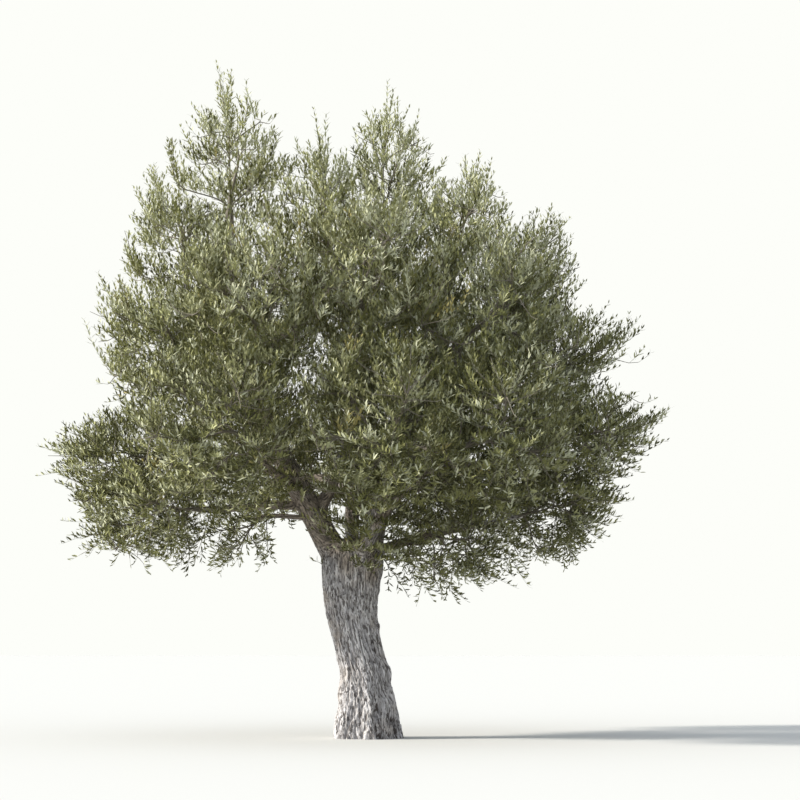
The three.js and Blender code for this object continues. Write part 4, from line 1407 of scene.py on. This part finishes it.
def leaf_material(name, colour, roughness):
    """A leathery leaf in one tint, with a soft waxy bloom."""
    material, tree = new_material(name)
    waxy = {"Roughness": roughness, "Specular IOR Level": 0.25, "Sheen Weight": 0.06}
    surface = add_node(tree, "ShaderNodeBsdfPrincipled", {"Base Color": (*colour, 1), **waxy})
    add_node(tree, "ShaderNodeOutputMaterial", {"Surface": surface})
    return material


leaf_materials = [leaf_material(*tint) for tint in LEAF_TINTS]


def dealt_at_random(tree, kind, output, seed, inputs):
    """A random value for each pair of leaves."""
    dice = add_node(tree, "FunctionNodeRandomValue", {**inputs, "Seed": seed}, data_type=kind)
    return dice.outputs[output]


def leaf_tree():
    """Sets pairs of leaves along every shoot, each pair turned a quarter from the last."""
    tree, given = new_group("leaves_on_shoots", spacing="Float", silver="Float", seed="Int")
    lines = add_node(tree, "GeometryNodeMeshToCurve", {"Mesh": given["Geometry"]})
    places = add_node(
        tree, "GeometryNodeResampleCurve", {"Curve": lines, "Length": given["spacing"]}, mode="LENGTH"
    )
    share = add_node(tree, "GeometryNodeSplineParameter").outputs["Factor"]
    upturn = {0: add_node(tree, "GeometryNodeInputTangent"), 1: (0, 0, LEAF_UPTURN)}
    upturned = add_node(tree, "ShaderNodeVectorMath", upturn, operation="ADD")
    wobble = dealt_at_random(tree, "FLOAT", 1, given["seed"], {2: -LEAF_WOBBLE, 3: LEAF_WOBBLE})
    quarter = maths(tree, "MULTIPLY_ADD", add_node(tree, "GeometryNodeInputIndex"), math.pi / 2, wobble)
    upright = add_node(tree, "FunctionNodeAlignRotationToVector", {"Vector": upturned}, axis="Z")
    spin = add_node(tree, "FunctionNodeAxisAngleToRotation", {"Axis": (0, 0, 1), "Angle": quarter})
    turned = add_node(
        tree, "FunctionNodeRotateRotation", {"Rotation": upright, "Rotate By": spin}, rotation_space="LOCAL"
    )
    size = dealt_at_random(tree, "FLOAT", 1, given["seed"], {2: LEAF_SIZES[0], 3: LEAF_SIZES[1]})
    size = maths(tree, "MULTIPLY", size, between(tree, share, 0.6, 1.0, 1.0, 0.68))
    kind = dealt_at_random(tree, "INT", 2, given["seed"], {4: 0, 5: PAIR_KINDS - 1})
    silvery = dealt_at_random(tree, "BOOLEAN", 3, given["seed"], {"Probability": given["silver"]})
    silver_tint = [name for name, *_ in LEAF_TINTS].index("leaf_silver")
    dealing = {"Switch": silvery, "False": named(tree, "tint", "INT"), "True": silver_tint}
    dealt = add_node(tree, "GeometryNodeSwitch", dealing, input_type="INT")
    marking = {"Geometry": places, "Name": "leaf_tint", "Value": dealt}
    marked = add_node(tree, "GeometryNodeStoreNamedAttribute", marking, data_type="INT", domain="POINT")
    past_foot = add_node(
        tree, "FunctionNodeCompare", {0: share, 1: BARE_FOOT}, data_type="FLOAT", operation="GREATER_THAN"
    )
    pairs = add_node(
        tree,
        "GeometryNodeCollectionInfo",
        {"Collection": leaf_pairs, "Separate Children": True, "Reset Children": True},
    )
    setting = {"Points": marked, "Selection": past_foot, "Instance": pairs, "Pick Instance": True}
    setting.update({"Instance Index": kind, "Rotation": turned, "Scale": size})
    leaves = add_node(tree, "GeometryNodeInstanceOnPoints", setting)
    geometry = add_node(tree, "GeometryNodeRealizeInstances", {"Geometry": leaves})
    leaf_tint = named(tree, "leaf_tint", "INT").outputs["Attribute"]
    for number, material in enumerate(leaf_materials):
        chosen = add_node(
            tree, "FunctionNodeCompare", {2: leaf_tint, 3: number}, data_type="INT", operation="EQUAL"
        )
        painting = {"Geometry": geometry, "Selection": chosen, "Material": material}
        geometry = add_node(tree, "GeometryNodeSetMaterial", painting)
    add_node(tree, "NodeGroupOutput", {"Geometry": geometry})
    return tree


leaves_on_shoots = leaf_tree()
for number, (place, masses) in enumerate(LEAF_PIECES.items()):
    mass_names = [f"{mass}_foliage" for mass in masses]
    lines = [(line, SHOOT_RADII) for name in mass_names for line in shoots[name][0]]
    tints = np.concatenate([shoots[name][1] for name in mass_names])
    piece = wood_lines(f"leaves_{place}", lines)
    set_attribute(piece.data, "tint", "INT", np.repeat(tints, 3).astype(np.int32))
    apply_group(piece, leaves_on_shoots, spacing=LEAF_SPACING, silver=SILVER_SHARE, seed=LEAF_SEED + number)
    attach(piece, "root")
    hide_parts(*mass_names)
for pair in list(leaf_pairs.objects):
    bpy.data.objects.remove(pair)
bpy.data.collections.remove(leaf_pairs)
